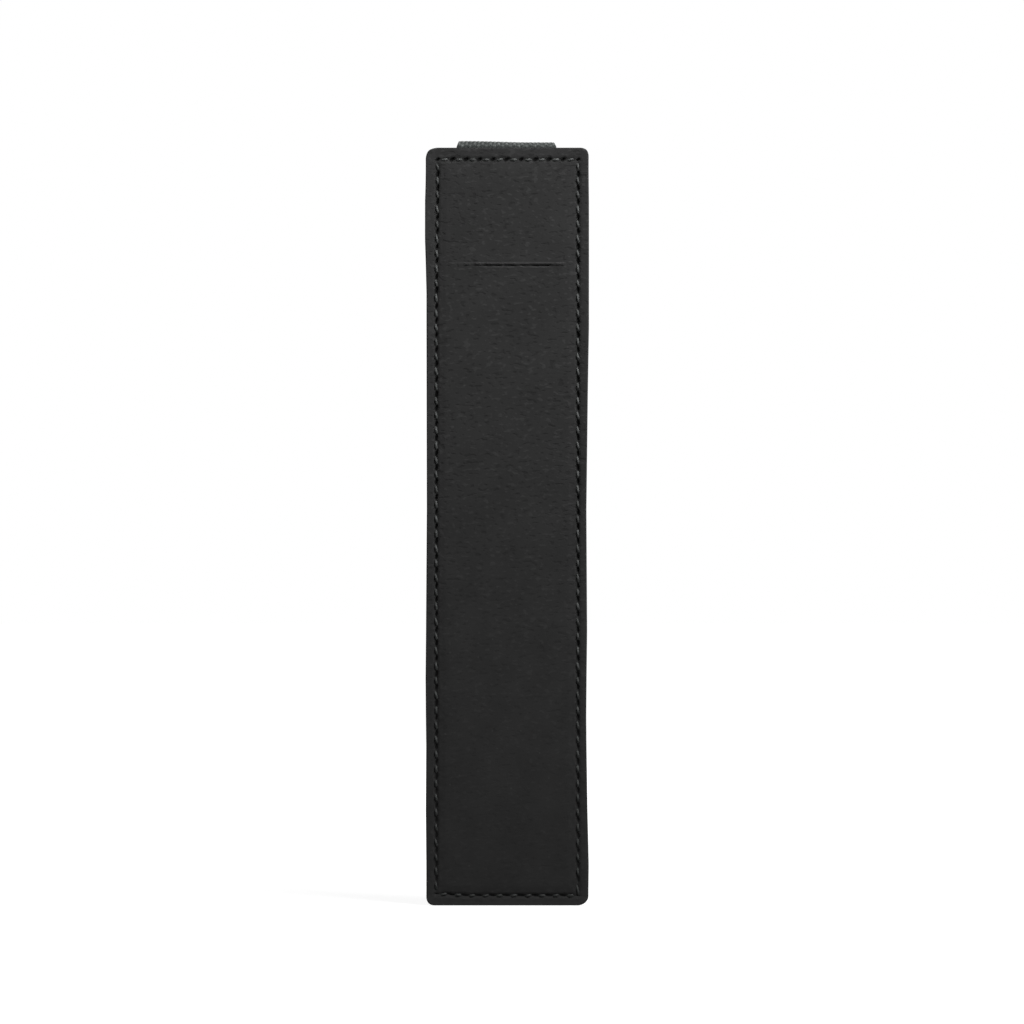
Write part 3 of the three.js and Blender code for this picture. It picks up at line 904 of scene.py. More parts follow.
def ribbed_section(tree, given, place):
    """The elastic's section: a flat strip with rounded edges, and a furrow on each face between two ribs."""
    inputs = {"Width": given["Width"], "Height": given["Thickness"]}
    section = put(tree, "GeometryNodeCurvePrimitiveQuadrilateral", inputs, mode="RECTANGLE")["Curve"]
    radius = times(tree, given["Thickness"], EDGE_ROUNDING)
    inputs = {"Curve": section, "Count": EDGE_STEPS, "Radius": radius}
    section = put(tree, "GeometryNodeFilletCurve", inputs, mode="POLY")["Curve"]
    inputs = {"Curve": section, "Length": SECTION_STEP}
    section = put(tree, "GeometryNodeResampleCurve", inputs, mode="LENGTH")["Curve"]
    section = stored(tree, section, "across", place["X"])
    rib_width = math_node(tree, "DIVIDE", given["Width"], given["Ribs"])
    phase = times(tree, math_node(tree, "DIVIDE", place["X"], rib_width), math.tau)
    furrow = math_node(tree, "SUBTRACT", 0.5, times(tree, math_node(tree, "COSINE", phase), 0.5))
    furrow = math_node(tree, "POWER", furrow, FURROW_POWER)
    share = math_node(tree, "DIVIDE", place["Y"], given["Thickness"])
    sunk = times(tree, furrow, given["Rib Depth"], share, -2.0)
    return moved(tree, section, vector_of(tree, y=sunk))


# Finishes: spans of noise, strengths of effects, and lint as flecks to the metre and the share kept

NOISE_SPAN = (0.3, 0.7)
LINT_RIM = (0.12, 0.3)

DENTS_PER_METRE = 1180.0
GRAIN_LEAN = math.radians(5)
GRAIN_FLATTENING = (0.52, 1.0, 1.0)
DENT_SPAN, RIDGE_SPAN, HEIGHT_SPAN = (0.29, 0.43), (0.57, 0.71), (0.3, 1.0)
DENT_DEPTH, RIDGE_HEIGHT, FLAT_HEIGHT = 0.6, 0.4, 0.7
FOOT_GRAIN_SHARE = 0.3
MOTTLING_SCALE, MOTTLING_HEIGHT = 1.8, 0.2
TONE_SCALE, TONE_DETAIL, TONE_SHARE = 0.12, 4.0, 0.2
PALER, DARKER, DARKEST = 1.4, 0.5, 0.3
# Shares of the paler cut edge, of the painted highlight along the slit's lips, and of the painted shade in
# the seam's groove
EDGE_SHARE, LIP_HIGHLIGHT_SHARE, SEAM_SHADE_SHARE = 0.2, 0.25, 0.3
# Painted highlight on the grain's ridges and painted shade in its dents
RIDGE_HIGHLIGHT_SHARE, DENT_SHADE_SHARE = 0.25, 0.31
LEATHER_LINT, LEATHER_LINT_SHARE = (900.0, 0.03), 0.25
HOLE_SHADE = (0.1, 0.85)
LEATHER_ROUGHNESS = (0.76, 0.6)
LEATHER_RELIEF = 0.1 * MM

KNIT_COURSE, KNIT_WALE = 0.7 * MM, 0.55 * MM
KNIT_LINT, KNIT_LINT_SHARE = (1400.0, 0.2), 0.3
KNIT_RELIEF = 0.1 * MM

YARN_COURSE = 0.95 * MM
ZIGZAG_SHARE, LOOP_SLANT = 0.25, 4.0
RIB_CREST, LOOP_CREST = (-0.9, 0.5, 0.35, 1.0), (-1.0, 0.8, 0.3, 1.0)
YARN_PATCHES, YARN_FIBRES = 520.0, 2600.0
PATCH_SPAN, PATCH_LEVELS = (0.32, 0.68), (0.6, 1.3)
# Painted shade on the front of the elastic's fold, where it comes out from under the leather's top edge
CREVICE_SHADE_SPAN = [HALF_LENGTH + height for height in millimetres(0.55, 1.05)]
CREVICE_SHADE_ZIGZAG, CREVICE_SHADE_SHARE = 0.4 * MM, 0.85
YARN_LINT, YARN_LINT_SHARE, YARN_LINT_PALER = (1100.0, 0.06), 0.4, 1.5
YARN_ROUGHNESS = (0.75, 0.95)
LOOP_RELIEF, FIBRE_RELIEF = 0.6, 0.25
YARN_RELIEF = 0.12 * MM

PLY_LENGTH = 0.75 * MM
PLY_CREST = (-1.0, 0.6, 0.65, 1.0)
# Painted light on the thread: paler higher up; it is also darker towards the left and varies in random
# patches of tone
THREAD_PATCH_SCALE = 330.0
THREAD_LIGHT_UP, THREAD_ACROSS_LEVELS, THREAD_PATCH_LEVELS = (0.12, 1.0), (0.82, 1.0), (0.5, 1.2)
THREAD_LINT, THREAD_LINT_SHARE, THREAD_LINT_PALER = (2400.0, 0.12), 0.4, 1.6
THREAD_RELIEF = 0.08 * MM


def noise(tree, place, scale, detail=2.0):
    """A soft random value about 0.5."""
    return put(tree, "ShaderNodeTexNoise", {"Vector": place, "Scale": scale, "Detail": detail})["Fac"]


def attribute(tree, name):
    """A value that the mesh carries."""
    return put(tree, "ShaderNodeAttribute", attribute_name=name, attribute_type="GEOMETRY")["Fac"]


def mixed(tree, share, first, second):
    """A colour between two others."""
    return put(tree, "ShaderNodeMix", {0: share, 6: first, 7: second}, data_type="RGBA", blend_type="MIX")[2]


def layered(tree, base, layers):
    """A colour with others laid over it in turn, each given as its mask and its colour."""
    for mask, over in layers:
        base = mixed(tree, mask, base, over)
    return base


def solid_colour(value, share=1.0):
    """A property's colour as a shader takes it, times a share."""
    return (*[part * share for part in value], 1.0)


def grain_group():
    """Leather grain: fine mottling, short dents and ridges that run across, and a slow drift of tone."""
    inputs = {"Vector": ["Place"], "Float": ["Dents per Metre", "Lean"]}
    outputs = {"Float": ["Height", "Dents", "Ridges", "Tone"]}
    tree, given, result = new_tree("leather_grain", "ShaderNodeTree", inputs, outputs)
    place, scale = given["Place"], given["Dents per Metre"]
    turn = {"Vector": place, "Angle": given["Lean"]}
    turned = put(tree, "ShaderNodeVectorRotate", turn, rotation_type="Y_AXIS")["Vector"]
    flattened = vector_node(tree, "MULTIPLY", turned, GRAIN_FLATTENING)
    dashes = noise(tree, flattened, scale, 1.0)
    up = parts_of(tree, place)["Z"]
    fullness = ranged(tree, up, -HALF_LENGTH, HALF_LENGTH / 2, FOOT_GRAIN_SHARE, 1.0)
    dents = times(tree, ranged(tree, dashes, *DENT_SPAN, 1.0, 0.0), fullness)
    ridges = times(tree, ranged(tree, dashes, *RIDGE_SPAN), fullness)
    mottling = noise(tree, flattened, times(tree, scale, MOTTLING_SCALE))
    height = plus(tree, times(tree, mottling, MOTTLING_HEIGHT), times(tree, dents, -DENT_DEPTH))
    height = plus(tree, plus(tree, height, times(tree, ridges, RIDGE_HEIGHT)), FLAT_HEIGHT)
    tone = noise(tree, place, times(tree, scale, TONE_SCALE), TONE_DETAIL)
    fill(tree, result, {"Height": height, "Dents": dents, "Ridges": ridges, "Tone": tone})
    return tree


def lint_group():
    """Sparse pale flecks of lint and dust."""
    inputs = {"Vector": ["Place"], "Float": ["Flecks per Metre", "Share"]}
    tree, given, result = new_tree("lint_flecks", "ShaderNodeTree", inputs, {"Float": ["Lint"]})
    scattered = {"Vector": given["Place"], "Scale": given["Flecks per Metre"]}
    cells = put(tree, "ShaderNodeTexVoronoi", scattered, feature="F1")
    spot = ranged(tree, cells["Distance"], *LINT_RIM, 1.0, 0.0)
    draw = put(tree, "ShaderNodeSeparateColor", {"Color": cells["Color"]})["Red"]
    fill(tree, result, {"Lint": times(tree, spot, math_node(tree, "LESS_THAN", draw, given["Share"]))})
    return tree


def lint_on(tree, place, per_metre, share):
    """A mask of lint flecks, so many to the metre, of which a share is kept."""
    group = bpy.data.node_groups.get("lint_flecks") or lint_group()
    values = {"Place": place, "Flecks per Metre": per_metre, "Share": share}
    return put(tree, "ShaderNodeGroup", values, node_tree=group)["Lint"]


def empty_nodes(holder):
    """The cleared node tree of a material or a world."""
    holder.use_nodes = True
    holder.node_tree.nodes.clear()
    return holder.node_tree


def new_finish(name):
    """A material with its tree, its shader and the piece's own coordinates."""
    material = bpy.data.materials.new(name)
    tree = empty_nodes(material)
    shader = tree.nodes.new("ShaderNodeBsdfPrincipled")
    put(tree, "ShaderNodeOutputMaterial", {"Surface": shader.outputs["BSDF"]})
    return material, tree, shader, put(tree, "ShaderNodeTexCoord")["Object"]


def relief(tree, height, distance):
    """A normal from a height of 0 to 1."""
    return put(tree, "ShaderNodeBump", {"Height": height, "Distance": distance, "Strength": 1.0})["Normal"]


def leather_finish(sizes):
    """Matte black leatherette with a fine grain and paler cut edges, painted shade in its needle holes, seam
    groove and grain dents, and painted highlights on its grain ridges and slit lips.
    """
    material, tree, shader, place = new_finish("grained_leatherette")
    values = {"Place": place, "Dents per Metre": DENTS_PER_METRE, "Lean": GRAIN_LEAN}
    grain = put(tree, "ShaderNodeGroup", values, node_tree=grain_group())
    pale, palest = solid_colour(sizes.leather_light), solid_colour(sizes.leather_light, PALER)
    dark, darkest = solid_colour(sizes.leather, DARKER), solid_colour(sizes.leather, DARKEST)
    layers = (
        (ranged(tree, grain["Tone"], *NOISE_SPAN, 0.0, TONE_SHARE), pale),
        (times(tree, lint_on(tree, place, *LEATHER_LINT), LEATHER_LINT_SHARE), palest),
        (times(tree, attribute(tree, "cut_edge"), EDGE_SHARE), pale),
        # Painted highlight: a fine pale line along each lip of the slit
        (times(tree, attribute(tree, "lip_highlight_mask"), LIP_HIGHLIGHT_SHARE), palest),
        # Painted highlight on the grain's ridges and painted shade in its dents, over the bump that also
        # shapes them
        (times(tree, grain["Ridges"], RIDGE_HIGHLIGHT_SHARE), palest),
        (times(tree, grain["Dents"], DENT_SHADE_SHARE), dark),
        # Painted shade along the groove that the thread draws in the seam
        (times(tree, attribute(tree, "seam_line"), SEAM_SHADE_SHARE), dark),
        # Painted shade in the needle holes
        (ranged(tree, attribute(tree, "needle_hole"), *HOLE_SHADE), darkest),
    )
    looks = {
        "Base Color": layered(tree, solid_colour(sizes.leather), layers),
        "Roughness": ranged(tree, grain["Height"], *HEIGHT_SPAN, *LEATHER_ROUGHNESS),
        "Specular IOR Level": 0.02,
        "Normal": relief(tree, grain["Height"], LEATHER_RELIEF),
    }
    fill(tree, shader, looks)
    return material


def backing_finish(sizes):
    """The knitted backing on the inside of the leatherette."""
    material, tree, shader, place = new_finish("backing_cloth")
    parts = parts_of(tree, place)
    courses = math_node(tree, "SINE", times(tree, parts["Z"], math.tau / KNIT_COURSE))
    wales = math_node(tree, "SINE", times(tree, parts["X"], math.tau / KNIT_WALE))
    knit = ranged(tree, plus(tree, courses, wales), -2.0, 2.0)
    layers = (
        (knit, solid_colour(sizes.backing)),
        (times(tree, lint_on(tree, place, *KNIT_LINT), KNIT_LINT_SHARE), solid_colour(sizes.leather_light)),
    )
    looks = {
        "Base Color": layered(tree, solid_colour(sizes.backing, DARKER), layers),
        "Roughness": 0.9,
        "Specular IOR Level": 0.05,
        "Normal": relief(tree, knit, KNIT_RELIEF),
    }
    fill(tree, shader, looks)
    return material


def elastic_finish(band):
    """Ribbed knit elastic: pale ribs of looped yarn, dark furrows, and painted shade on its front where it
    comes out from under the leather's top edge.
    """
    material, tree, shader, place = new_finish("ribbed_elastic")
    phase = times(tree, attribute(tree, "across"), math.tau * band.ribs / (2 * BAND_HALF))
    zigzag = math_node(tree, "ABSOLUTE", math_node(tree, "SINE", times(tree, phase, ZIGZAG_SHARE)))
    courses = times(tree, attribute(tree, "along"), math.tau / YARN_COURSE)
    loops = math_node(tree, "SINE", plus(tree, courses, times(tree, zigzag, LOOP_SLANT)))
    crest = ranged(tree, math_node(tree, "COSINE", phase), *RIB_CREST)
    patches = ranged(tree, noise(tree, place, YARN_PATCHES), *PATCH_SPAN, *PATCH_LEVELS)
    weave = times(tree, crest, ranged(tree, loops, *LOOP_CREST), patches)
    parts = parts_of(tree, place)
    # Painted shade on the fold's front just above the leather's top edge, with a zigzag rim
    height = plus(tree, parts["Z"], times(tree, zigzag, CREVICE_SHADE_ZIGZAG))
    on_front = ranged(tree, parts["Y"], MEETING, REAR_FACE, 1.0, 0.0)
    crevice_shade = times(tree, ranged(tree, height, *CREVICE_SHADE_SPAN, 1.0, 0.0), on_front)
    fibres = noise(tree, place, YARN_FIBRES)
    lint = times(tree, lint_on(tree, place, *YARN_LINT), YARN_LINT_SHARE)
    layers = (
        (weave, solid_colour(band.yarn)),
        (lint, solid_colour(band.yarn, YARN_LINT_PALER)),
        (times(tree, crevice_shade, CREVICE_SHADE_SHARE), solid_colour(band.furrow)),
    )
    bumps = plus(tree, times(tree, weave, LOOP_RELIEF), times(tree, fibres, FIBRE_RELIEF))
    looks = {
        "Base Color": layered(tree, solid_colour(band.furrow), layers),
        "Roughness": ranged(tree, fibres, *NOISE_SPAN, *YARN_ROUGHNESS),
        "Specular IOR Level": 0.1,
        "Sheen Weight": 0.1,
        "Sheen Roughness": 0.5,
        "Normal": relief(tree, bumps, YARN_RELIEF),
    }
    fill(tree, shader, looks)
    return material


def thread_finish(stitch):
    """Twisted sewing thread with painted light: paler towards the top, where the lamp lights the seam more,
    darker towards the left, and uneven in random patches.
    """
    material, tree, shader, place = new_finish("sewing_thread")
    lay = times(tree, attribute(tree, "along"), math.tau / PLY_LENGTH)
    plies = math_node(tree, "SINE", plus(tree, lay, times(tree, attribute(tree, "around"), math.tau)))
    twist = ranged(tree, plies, *PLY_CREST)
    parts = parts_of(tree, place)
    # Painted light: the thread's lit colour fades towards the foot, where the lamp lights the seam less; it
    # also dims towards the left and varies in random patches
    thread_light_and_patches = times(
        tree,
        ranged(tree, parts["Z"], -HALF_LENGTH, FADE_HEIGHT, *THREAD_LIGHT_UP),
        ranged(tree, parts["X"], -HALF_WIDTH, HALF_WIDTH, *THREAD_ACROSS_LEVELS),
        ranged(tree, noise(tree, place, THREAD_PATCH_SCALE, 0.0), *NOISE_SPAN, *THREAD_PATCH_LEVELS),
    )
    lint = times(tree, lint_on(tree, place, *THREAD_LINT), THREAD_LINT_SHARE, thread_light_and_patches)
    layers = (
        (times(tree, twist, thread_light_and_patches), solid_colour(stitch.lit)),
        (lint, solid_colour(stitch.lit, THREAD_LINT_PALER)),
    )
    looks = {
        "Base Color": layered(tree, solid_colour(stitch.shaded), layers),
        "Roughness": 0.6,
        "Specular IOR Level": 0.15,
        "Normal": relief(tree, twist, THREAD_RELIEF),
    }
    fill(tree, shader, looks)
    return material


def finish_of(name, make, sizes):
    """The material of this name, made once."""
    return bpy.data.materials.get(name) or make(sizes)


def sheet_finishes(sizes):
    """The finishes of a sheet's outside and inside."""
    outside = finish_of("grained_leatherette", leather_finish, sizes)
    return [outside, finish_of("backing_cloth", backing_finish, sizes)]


# The stage: lamps as size, place and target in metres

FLOOR_REACH = 4.0
FLOOR_GAP = 0.05 * MM
FLOOR_FADE, FLOOR_GLOW = (0.15, 0.6), (0.81, 1.0)
KEY_LAMP = (0.17, (0.17, -0.205, 0.26), (0, FRONT_FACE, 0.02))
BACK_LAMP = (0.6, (-0.25, 0.6, 0.5), (0, 0, 0))
EDGE_LAMP = (0.3, (0.5, 0.4, 0.15), (0, 0, 0))
SUN_PLACE, SUN_ANGLE = (0.3, -1.0, 1.2), math.radians(40)
SENSOR_WIDTH = 36
CLIP_START, CLIP_END = 0.05, 50


def white_rays(tree):
    """1 for a ray from the camera or from gloss or glass, 0 for light that falls on a surface."""
    path = put(tree, "ShaderNodeLightPath")
    seen = math_node(tree, "MAXIMUM", path["Is Camera Ray"], path["Is Glossy Ray"])
    return math_node(tree, "MAXIMUM", seen, path["Is Transmission Ray"])


def floor_finish(stage):
    """A pale floor that the camera, gloss and glass see as white, with the shadow still on it."""
    material = bpy.data.materials.new("studio_floor")
    tree = empty_nodes(material)
    place = put(tree, "ShaderNodeTexCoord")["Object"]
    away = length_of(tree, vector_node(tree, "MULTIPLY", place, (1, 1, 0)))
    white = times(tree, white_rays(tree), ranged(tree, away, *FLOOR_FADE, *FLOOR_GLOW))
    matte = put(tree, "ShaderNodeBsdfDiffuse", {"Color": solid_colour(stage.floor)})["BSDF"]
    glow = put(tree, "ShaderNodeEmission", {"Strength": white})["Emission"]
    both = put(tree, "ShaderNodeAddShader", {0: matte, 1: glow})["Shader"]
    put(tree, "ShaderNodeOutputMaterial", {"Surface": both})
    return material


class PENSLEEVE_OT_stage(bpy.types.Operator):
    """Make the floor, the lamps, the white surroundings and the camera"""

    bl_idname = "pen_sleeve.stage"
    bl_label = "Stage"

    def execute(self, context):
        scene, stage = context.scene, context.scene.pen_sleeve_stage
        scene.view_settings.view_transform = "Standard"
        self.floor(stage)
        self.surroundings(scene, stage)
        self.lamp("key_lamp", stage.key_power, *KEY_LAMP)
        self.lamp("back_lamp", stage.back_power, *BACK_LAMP)
        self.lamp("edge_lamp", stage.edge_power, *EDGE_LAMP)
        self.sun(stage.sun_strength)
        self.camera(scene, stage)
        return {"FINISHED"}

    def floor(self, stage):
        """A wide floor just under the sleeve's foot."""
        height = BACK_LOW.z - TRIM_FOOT - FLOOR_GAP
        sides = ((-1, -1), (1, -1), (1, 1), (-1, 1))
        mesh = bpy.data.meshes.new("studio_floor")
        mesh.from_pydata([(x * FLOOR_REACH, y * FLOOR_REACH, height) for x, y in sides], [], [[0, 1, 2, 3]])
        mesh.materials.append(floor_finish(stage))
        linked("studio_floor", mesh)

    def surroundings(self, scene, stage):
        """White for what the camera and gloss see, and a weaker even light on the sleeve."""
        scene.world = bpy.data.worlds.new("white_surroundings")
        tree = empty_nodes(scene.world)
        level = ranged(tree, white_rays(tree), 0.0, 1.0, stage.ambient, 1.0)
        light = put(tree, "ShaderNodeBackground", {"Color": (1, 1, 1, 1), "Strength": level})["Background"]
        put(tree, "ShaderNodeOutputWorld", {"Surface": light})

    def lamp(self, name, watts, size, place, target):
        """A square soft lamp that looks at a point."""
        data = bpy.data.lights.new(name, "AREA")
        data.energy, data.size = watts, size
        self.aim(linked(name, data), place, target)

    def sun(self, level):
        """Even light from high in front, soft enough for a faint shadow."""
        data = bpy.data.lights.new("even_light", "SUN")
        data.energy, data.angle = level, SUN_ANGLE
        self.aim(linked("even_light", data), SUN_PLACE, (0, 0, 0))

    def camera(self, scene, stage):
        """The photograph's straight view of the front."""
        data = bpy.data.cameras.new("front_view")
        data.sensor_width = SENSOR_WIDTH
        data.lens = data.sensor_width * stage.view_distance / stage.view_width
        data.clip_start, data.clip_end = CLIP_START, CLIP_END
        scene.camera = linked("front_view", data)
        spot = (stage.aim_across, FRONT_FACE, stage.aim_up)
        self.aim(scene.camera, (spot[0], spot[1] - stage.view_distance, spot[2]), spot)

    def aim(self, thing, place, target):
        """Puts a lamp or the camera somewhere and turns it to a point."""
        thing.location = place
        way = np.array(target) - np.array(place)
        level = math.hypot(way[0], way[1])
        thing.rotation_euler = (math.atan2(level, -way[2]), 0, math.atan2(-way[0], way[1]))


# The sheets


class PENSLEEVE_OT_back_sheet(bpy.types.Operator):
    """Make the back sheet, with the slot that the elastic's lower end goes through"""

    bl_idname = "pen_sleeve.back_sheet"
    bl_label = "Back sheet"

    def execute(self, context):
        sizes = context.scene.pen_sleeve
        sheets = SewnSheets(sizes)
        across, up = sheet_lines(sheets, BACK_HOLE_LINES)
        sides = (sheets.back_inside, sheets.back_outside)
        outline, numbers, places = grid_points(sheets, across, up, 0, *sides)
        slot_side = BAND_HALF + TAIL_SIDE
        keep = around_window(across, up, slot_side, SLOT_LOW, SLOT_HIGH)
        made = closed_sheet("back_sheet", outline, [cells_of(numbers, keep)])
        piece = sheet_piece("back_sheet", made, sheets, places, sheet_finishes(sizes), inner_side=0)
        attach(piece, "sleeve")
        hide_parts("back_panel")
        return {"FINISHED"}


class PENSLEEVE_OT_front_sheet(bpy.types.Operator):
    """Make the front sheet: its sewn border with the flap, and the pocket under the pen slit"""

    bl_idname = "pen_sleeve.front_sheet"
    bl_label = "Front sheet"

    def execute(self, context):
        sizes = context.scene.pen_sleeve
        sheets = SewnSheets(sizes)
        finishes = sheet_finishes(sizes)
        self.border(sheets, finishes)
        self.pocket(sheets, finishes, sizes.hinge, sizes.foot_hinge)
        return {"FINISHED"}

    def border(self, sheets, finishes):
        """The stretch of the front sheet that is sewn down, with the flap over the slit."""
        across, up = sheet_lines(sheets, FRONT_HOLE_LINES)
        sides = (sheets.front_outside, sheets.front_inside)
        outline, numbers, places = grid_points(sheets, across, up, 1, *sides)
        keep = around_window(across, up, SLIT_HALF, POCKET_FOOT, SLIT_HEIGHT)
        made = closed_sheet("front_border", outline, [cells_of(numbers, keep)])
        piece = sheet_piece("front_border", made, sheets, places, finishes, inner_side=1)
        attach(piece, "sleeve")
        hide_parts("front_panel")

    def pocket(self, sheets, finishes, hinge, foot_hinge):
        """The loose stretch under the slit, in three pieces: left, right and foot."""
        half_count = round(SLIT_HALF / POCKET_CELL)
        cell = SLIT_HALF / half_count
        hips = round(hinge / cell)
        hinge = hips * cell
        knee = POCKET_FOOT + foot_hinge
        across = np.linspace(-SLIT_HALF, SLIT_HALF, 2 * half_count + 1)
        lips = [SLIT_HEIGHT - step for step in LIP_LINES]
        foot_rows = list(np.linspace(POCKET_FOOT, knee, hips + 1))
        up = merged(lips, foot_rows + spaced(knee, min(lips), cell), CLOSEST_LINES)
        sides = (sheets.front_outside, sheets.front_inside)
        outline, numbers, places = grid_points(sheets, across, up, -1, *sides)
        left, right, foot = self.pocket_cells(numbers, half_count, hips)
        high = SLIT_HEIGHT - POCKET_FOOT
        side_flat, side_area = (SLIT_HALF, high), SLIT_HALF * (high - foot_hinge) + hinge * foot_hinge / 2
        foot_flat, foot_area = (2 * SLIT_HALF, foot_hinge), (2 * SLIT_HALF - hinge) * foot_hinge
        stretches = (
            ("pocket_left", left, (-SLIT_HALF, 0, 0), (hinge - SLIT_HALF, 0, 0), side_flat, side_area),
            ("pocket_right", right, (SLIT_HALF, 0, 0), (SLIT_HALF - hinge, 0, 0), side_flat, side_area),
            ("pocket_foot", foot, (0, 0, POCKET_FOOT), (0, 0, knee), foot_flat, foot_area),
        )
        for name, cells, start, end, flat, area in stretches:
            made = closed_sheet(name, outline, cells)
            piece = sheet_piece(name, made, sheets, places, finishes, inner_side=1)
            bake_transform(piece)
            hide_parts("pocket_front")

    def pocket_cells(self, numbers, half_count, hips):
        """The pocket's cells as left, right and foot, parted along two hips from the lower corners."""
        rows, columns = np.indices((numbers.shape[0] - 1, 2 * half_count))
        on_left = columns < half_count
        inwards = np.where(on_left, columns, 2 * half_count - 1 - columns)
        beside = (rows >= hips) | (inwards < rows)
        on_hip = ~beside & (inwards == rows)
        left_hip, right_hip = cells_of(numbers, on_hip & on_left), cells_of(numbers, on_hip & ~on_left)
        left = [cells_of(numbers, beside & on_left), left_hip[:, [0, 2, 3]]]
        right = [cells_of(numbers, beside & ~on_left), right_hip[:, [1, 2, 3]]]
        foot = [cells_of(numbers, ~beside & ~on_hip), left_hip[:, [0, 1, 2]], right_hip[:, [0, 1, 3]]]
        return left, right, foot


# The elastic: into how many steps each stretch of its middle line is parted

TAIL_STEP = 0.8 * MM
FOLD_STEPS = 24
UPPER_STEPS = 44
RUN_STEPS = 60
LOWER_STEPS = 40
GATE_STEPS = 7
BEND_STEPS = 12
FOOT_TAIL_STEPS = 9
GATE_HOLD = 0.7 * MM


class PENSLEEVE_OT_elastic(bpy.types.Operator):
    """Make the elastic loop, in an upper and a lower half that meet in the middle of the straight run"""

    bl_idname = "pen_sleeve.elastic"
    bl_label = "Elastic loop"

    def execute(self, context):
        band = context.scene.pen_sleeve_band
        tree = band_tree()
        values = {
            "Width": 2 * (BAND_HALF + band.spare),
            "Thickness": BAND_THICKNESS,
            "Ribs": band.ribs,
            "Rib Depth": band.rib_depth,
            "Fold Start": HALF_LENGTH,
            "Fold End": FOLD_TOP,
            "Fold Draw": band.fold_draw,
            "Fold Lean": band.fold_lean,
            "Finish": finish_of("ribbed_elastic", elastic_finish, band),
        }
        halves = (
            (
                "elastic_upper",
                self.upper_line(band),
                (0, 0, TOP_TAIL_LOW.z),
                (0, 0, RUN_HIGH.z),
                ("band_top_tail", "band_upper_stretch", "band_run"),
            ),
            (
                "elastic_lower",
                self.lower_line(band),
                (0, 0, SLOT_HIGH + GATE_HOLD),
                (0, 0, RUN_LOW.z),
                ("band_lower_stretch", "band_bottom_tail"),
            ),
        )
        for name, line, start, end, nodes in halves:
            steps = [(number, number + 1) for number in range(len(line) - 1)]
            piece = grown(name, line_mesh(name, [(0, y, z) for y, z in line], steps), tree, values)
            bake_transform(piece)
            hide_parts(*nodes)
        return {"FINISHED"}

    def straight(self, start, end, steps):
        """Points along a straight line, without its first."""
        first, last = np.array(start), np.array(end)
        return [tuple(first + (last - first) * share) for share in np.linspace(0, 1, steps + 1)[1:]]

    def bezier(self, points, steps):
        """Points along a cubic curve, without its first."""
        first, second, third, last = (np.array(point) for point in points)
        made = []
        for share in np.linspace(0, 1, steps + 1)[1:]:
            rest = 1 - share
            spot = rest**3 * first + 3 * rest**2 * share * second
            spot = spot + 3 * rest * share**2 * third + share**3 * last
            made.append(tuple(spot))
        return made

    def upper_line(self, band):
        """The middle line from the top tail over the fold and down the back, as depth and height."""
        top, run_top = HALF_LENGTH, RUN_HIGH.z
        rear = REAR_FACE + band.rear_gap
        middle, half = (TAIL_MIDDLE + rear) / 2, (rear - TAIL_MIDDLE) / 2
        rise = FOLD_TOP - top - BAND_THICKNESS / 2
        line = [(TAIL_MIDDLE, height) for height in spaced(TOP_TAIL_LOW.z, top, TAIL_STEP)]
        for turn in np.linspace(math.pi, 0, FOLD_STEPS + 1)[1:]:
            line.append((middle + half * math.cos(turn), top + rise * math.sin(turn)))
        knee = (top + run_top) / 2
        curve = [(rear, top), (rear, knee), (RUN_MIDDLE, knee), (RUN_MIDDLE, run_top)]
        line += self.bezier(curve, UPPER_STEPS)
        return line + self.straight((RUN_MIDDLE, run_top), (RUN_MIDDLE, 0), RUN_STEPS)

    def lower_line(self, band):
        """The middle line from the straight run down to the slot and into the lower tail."""
        radius = band.gate_bend
        bend = []
        for turn in np.linspace(math.pi - band.gate_angle, math.pi, BEND_STEPS + 1):
            bend.append((TAIL_MIDDLE + radius + radius * math.cos(turn), SLOT_LOW + radius * math.sin(turn)))
        lean = np.array((math.sin(band.gate_angle), math.cos(band.gate_angle)))
        gate_depth = REAR_FACE + BAND_THICKNESS + band.gate_clearance
        gate = np.array(bend[0]) + (gate_depth - bend[0][0]) / lean[0] * lean
        easing = gate + (RUN_MIDDLE - gate_depth) / lean[0] / 2 * lean
        run_foot = (RUN_MIDDLE, RUN_LOW.z)
        knee = (RUN_MIDDLE, (RUN_LOW.z + gate[1]) / 2)
        line = [(RUN_MIDDLE, 0)] + self.straight((RUN_MIDDLE, 0), run_foot, RUN_STEPS)
        line += self.bezier([run_foot, knee, easing, gate], LOWER_STEPS)
        line += self.straight(gate, bend[0], GATE_STEPS)[:-1] + bend
        return line + self.straight(bend[-1], (TAIL_MIDDLE, BOTTOM_TAIL_LOW.z), FOOT_TAIL_STEPS)


# The stitches

BOBBIN_SEED_STEP = 20


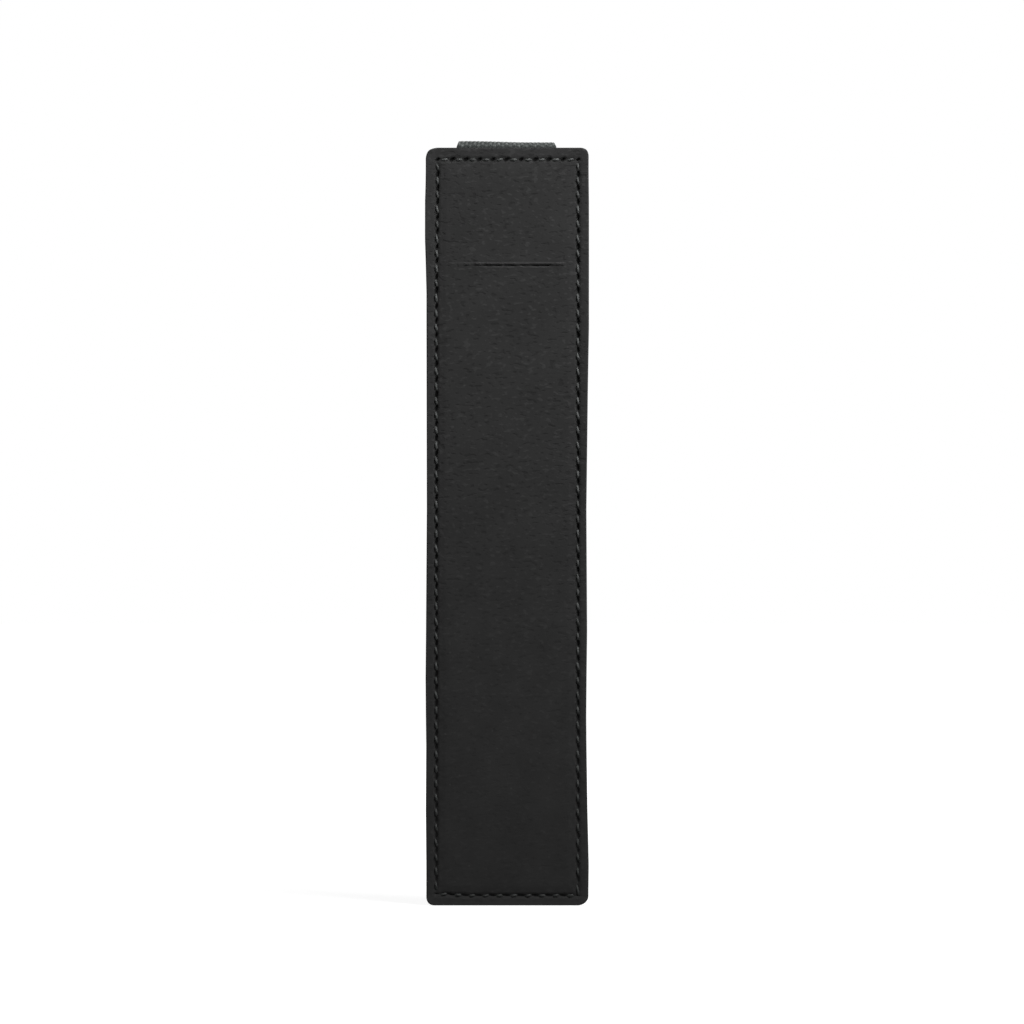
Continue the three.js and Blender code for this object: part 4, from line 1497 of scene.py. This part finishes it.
class PENSLEEVE_OT_stitches(bpy.types.Operator):
    """Sew the seam: needle stitches on the front and bobbin stitches on the back"""

    bl_idname = "pen_sleeve.stitches"
    bl_label = "Stitches"

    def execute(self, context):
        sizes, stitch = context.scene.pen_sleeve, context.scene.pen_sleeve_stitch
        sheets = SewnSheets(sizes)
        tree = stitch_tree()
        sides = (
            ("needle_stitches", "needle_thread", FRONT_FACE, -1, stitch.seed),
            ("bobbin_stitches", "bobbin_thread", REAR_FACE, 1, stitch.seed + BOBBIN_SEED_STEP),
        )
        for name, node, depth, outwards, seed in sides:
            values = {
                "Stitch Length": sizes.stitch_pitch,
                "Leg Gap": stitch.leg_gap,
                "Thread": stitch.thread,
                "Crown": stitch.crown,
                "Leg Depth": stitch.depth,
                "Slant": -outwards * stitch.slant,
                "Wander": stitch.wander,
                "Outwards": (0, outwards, 0),
                "Seed": seed,
                "Finish": finish_of("sewing_thread", thread_finish, stitch),
            }
            piece = grown(name, self.seam_line(name, sheets, depth, outwards), tree, values)
            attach(piece, "sleeve")
            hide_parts(node)
        return {"FINISHED"}

    def seam_line(self, name, sheets, depth, outwards):
        """The seam as four rows of points, one for each needle hole, joined along each row."""
        half_width, half_length = sheets.seam_half_width, sheets.seam_half_length
        across, along = sheets.end_holes, sheets.side_holes
        top = [(x, half_length) for x in across]
        right = [(half_width, z) for z in along[::-1]]
        foot = [(x, -half_length) for x in across[::-1]]
        left = [(-half_width, z) for z in along]
        rows = (top, right, foot, left)
        flat = np.array([point for row in rows for point in row])
        wide, high = sheets.place(*flat.T, 0)
        high[len(top) + len(right) - 1] -= LAST_STITCH_OVERRUN
        sunk = np.where(np.abs(flat[:, 1]) == half_length, END_SINK, 0)
        points = np.stack([wide, depth - outwards * sunk, high], -1)
        row_ends = np.cumsum([len(row) for row in rows]) - 1
        stitches = [(number, number + 1) for number in range(len(flat)) if number not in row_ends]
        return line_mesh(name, points.tolist(), stitches)


# The panel and the register

OPERATORS = (
    PENSLEEVE_OT_stage,
    PENSLEEVE_OT_back_sheet,
    PENSLEEVE_OT_front_sheet,
    PENSLEEVE_OT_elastic,
    PENSLEEVE_OT_stitches,
)
SETTINGS = {
    "pen_sleeve": SleeveSettings,
    "pen_sleeve_band": BandSettings,
    "pen_sleeve_stitch": StitchSettings,
    "pen_sleeve_stage": StageSettings,
}


class PENSLEEVE_PT_panel(bpy.types.Panel):
    """The pieces of the pen sleeve"""

    bl_idname = "PENSLEEVE_PT_panel"
    bl_label = "Pen sleeve"
    bl_space_type = "VIEW_3D"
    bl_region_type = "UI"
    bl_category = "Pen sleeve"

    def draw(self, context):
        for operator in OPERATORS:
            self.layout.operator(operator.bl_idname)
        for settings in SETTINGS:
            group = getattr(context.scene, settings)
            box = self.layout.box()
            for key in group.bl_rna.properties.keys():
                if key not in ("rna_type", "name"):
                    box.prop(group, key)


def register():
    """Registers the settings, the operators and the panel."""
    for name, settings in SETTINGS.items():
        bpy.utils.register_class(settings)
        setattr(bpy.types.Scene, name, bpy.props.PointerProperty(type=settings))
    for kind in (*OPERATORS, PENSLEEVE_PT_panel):
        bpy.utils.register_class(kind)


def unregister():
    """Takes them all away again."""
    for kind in (PENSLEEVE_PT_panel, *reversed(OPERATORS)):
        bpy.utils.unregister_class(kind)
    for name, settings in SETTINGS.items():
        delattr(bpy.types.Scene, name)
        bpy.utils.unregister_class(settings)


def main():
    """Makes every piece in order."""
    register()
    bpy.ops.pen_sleeve.stage()
    bpy.ops.pen_sleeve.back_sheet()
    bpy.ops.pen_sleeve.front_sheet()
    bpy.ops.pen_sleeve.elastic()
    bpy.ops.pen_sleeve.stitches()


if __name__ == "__main__":
    main()
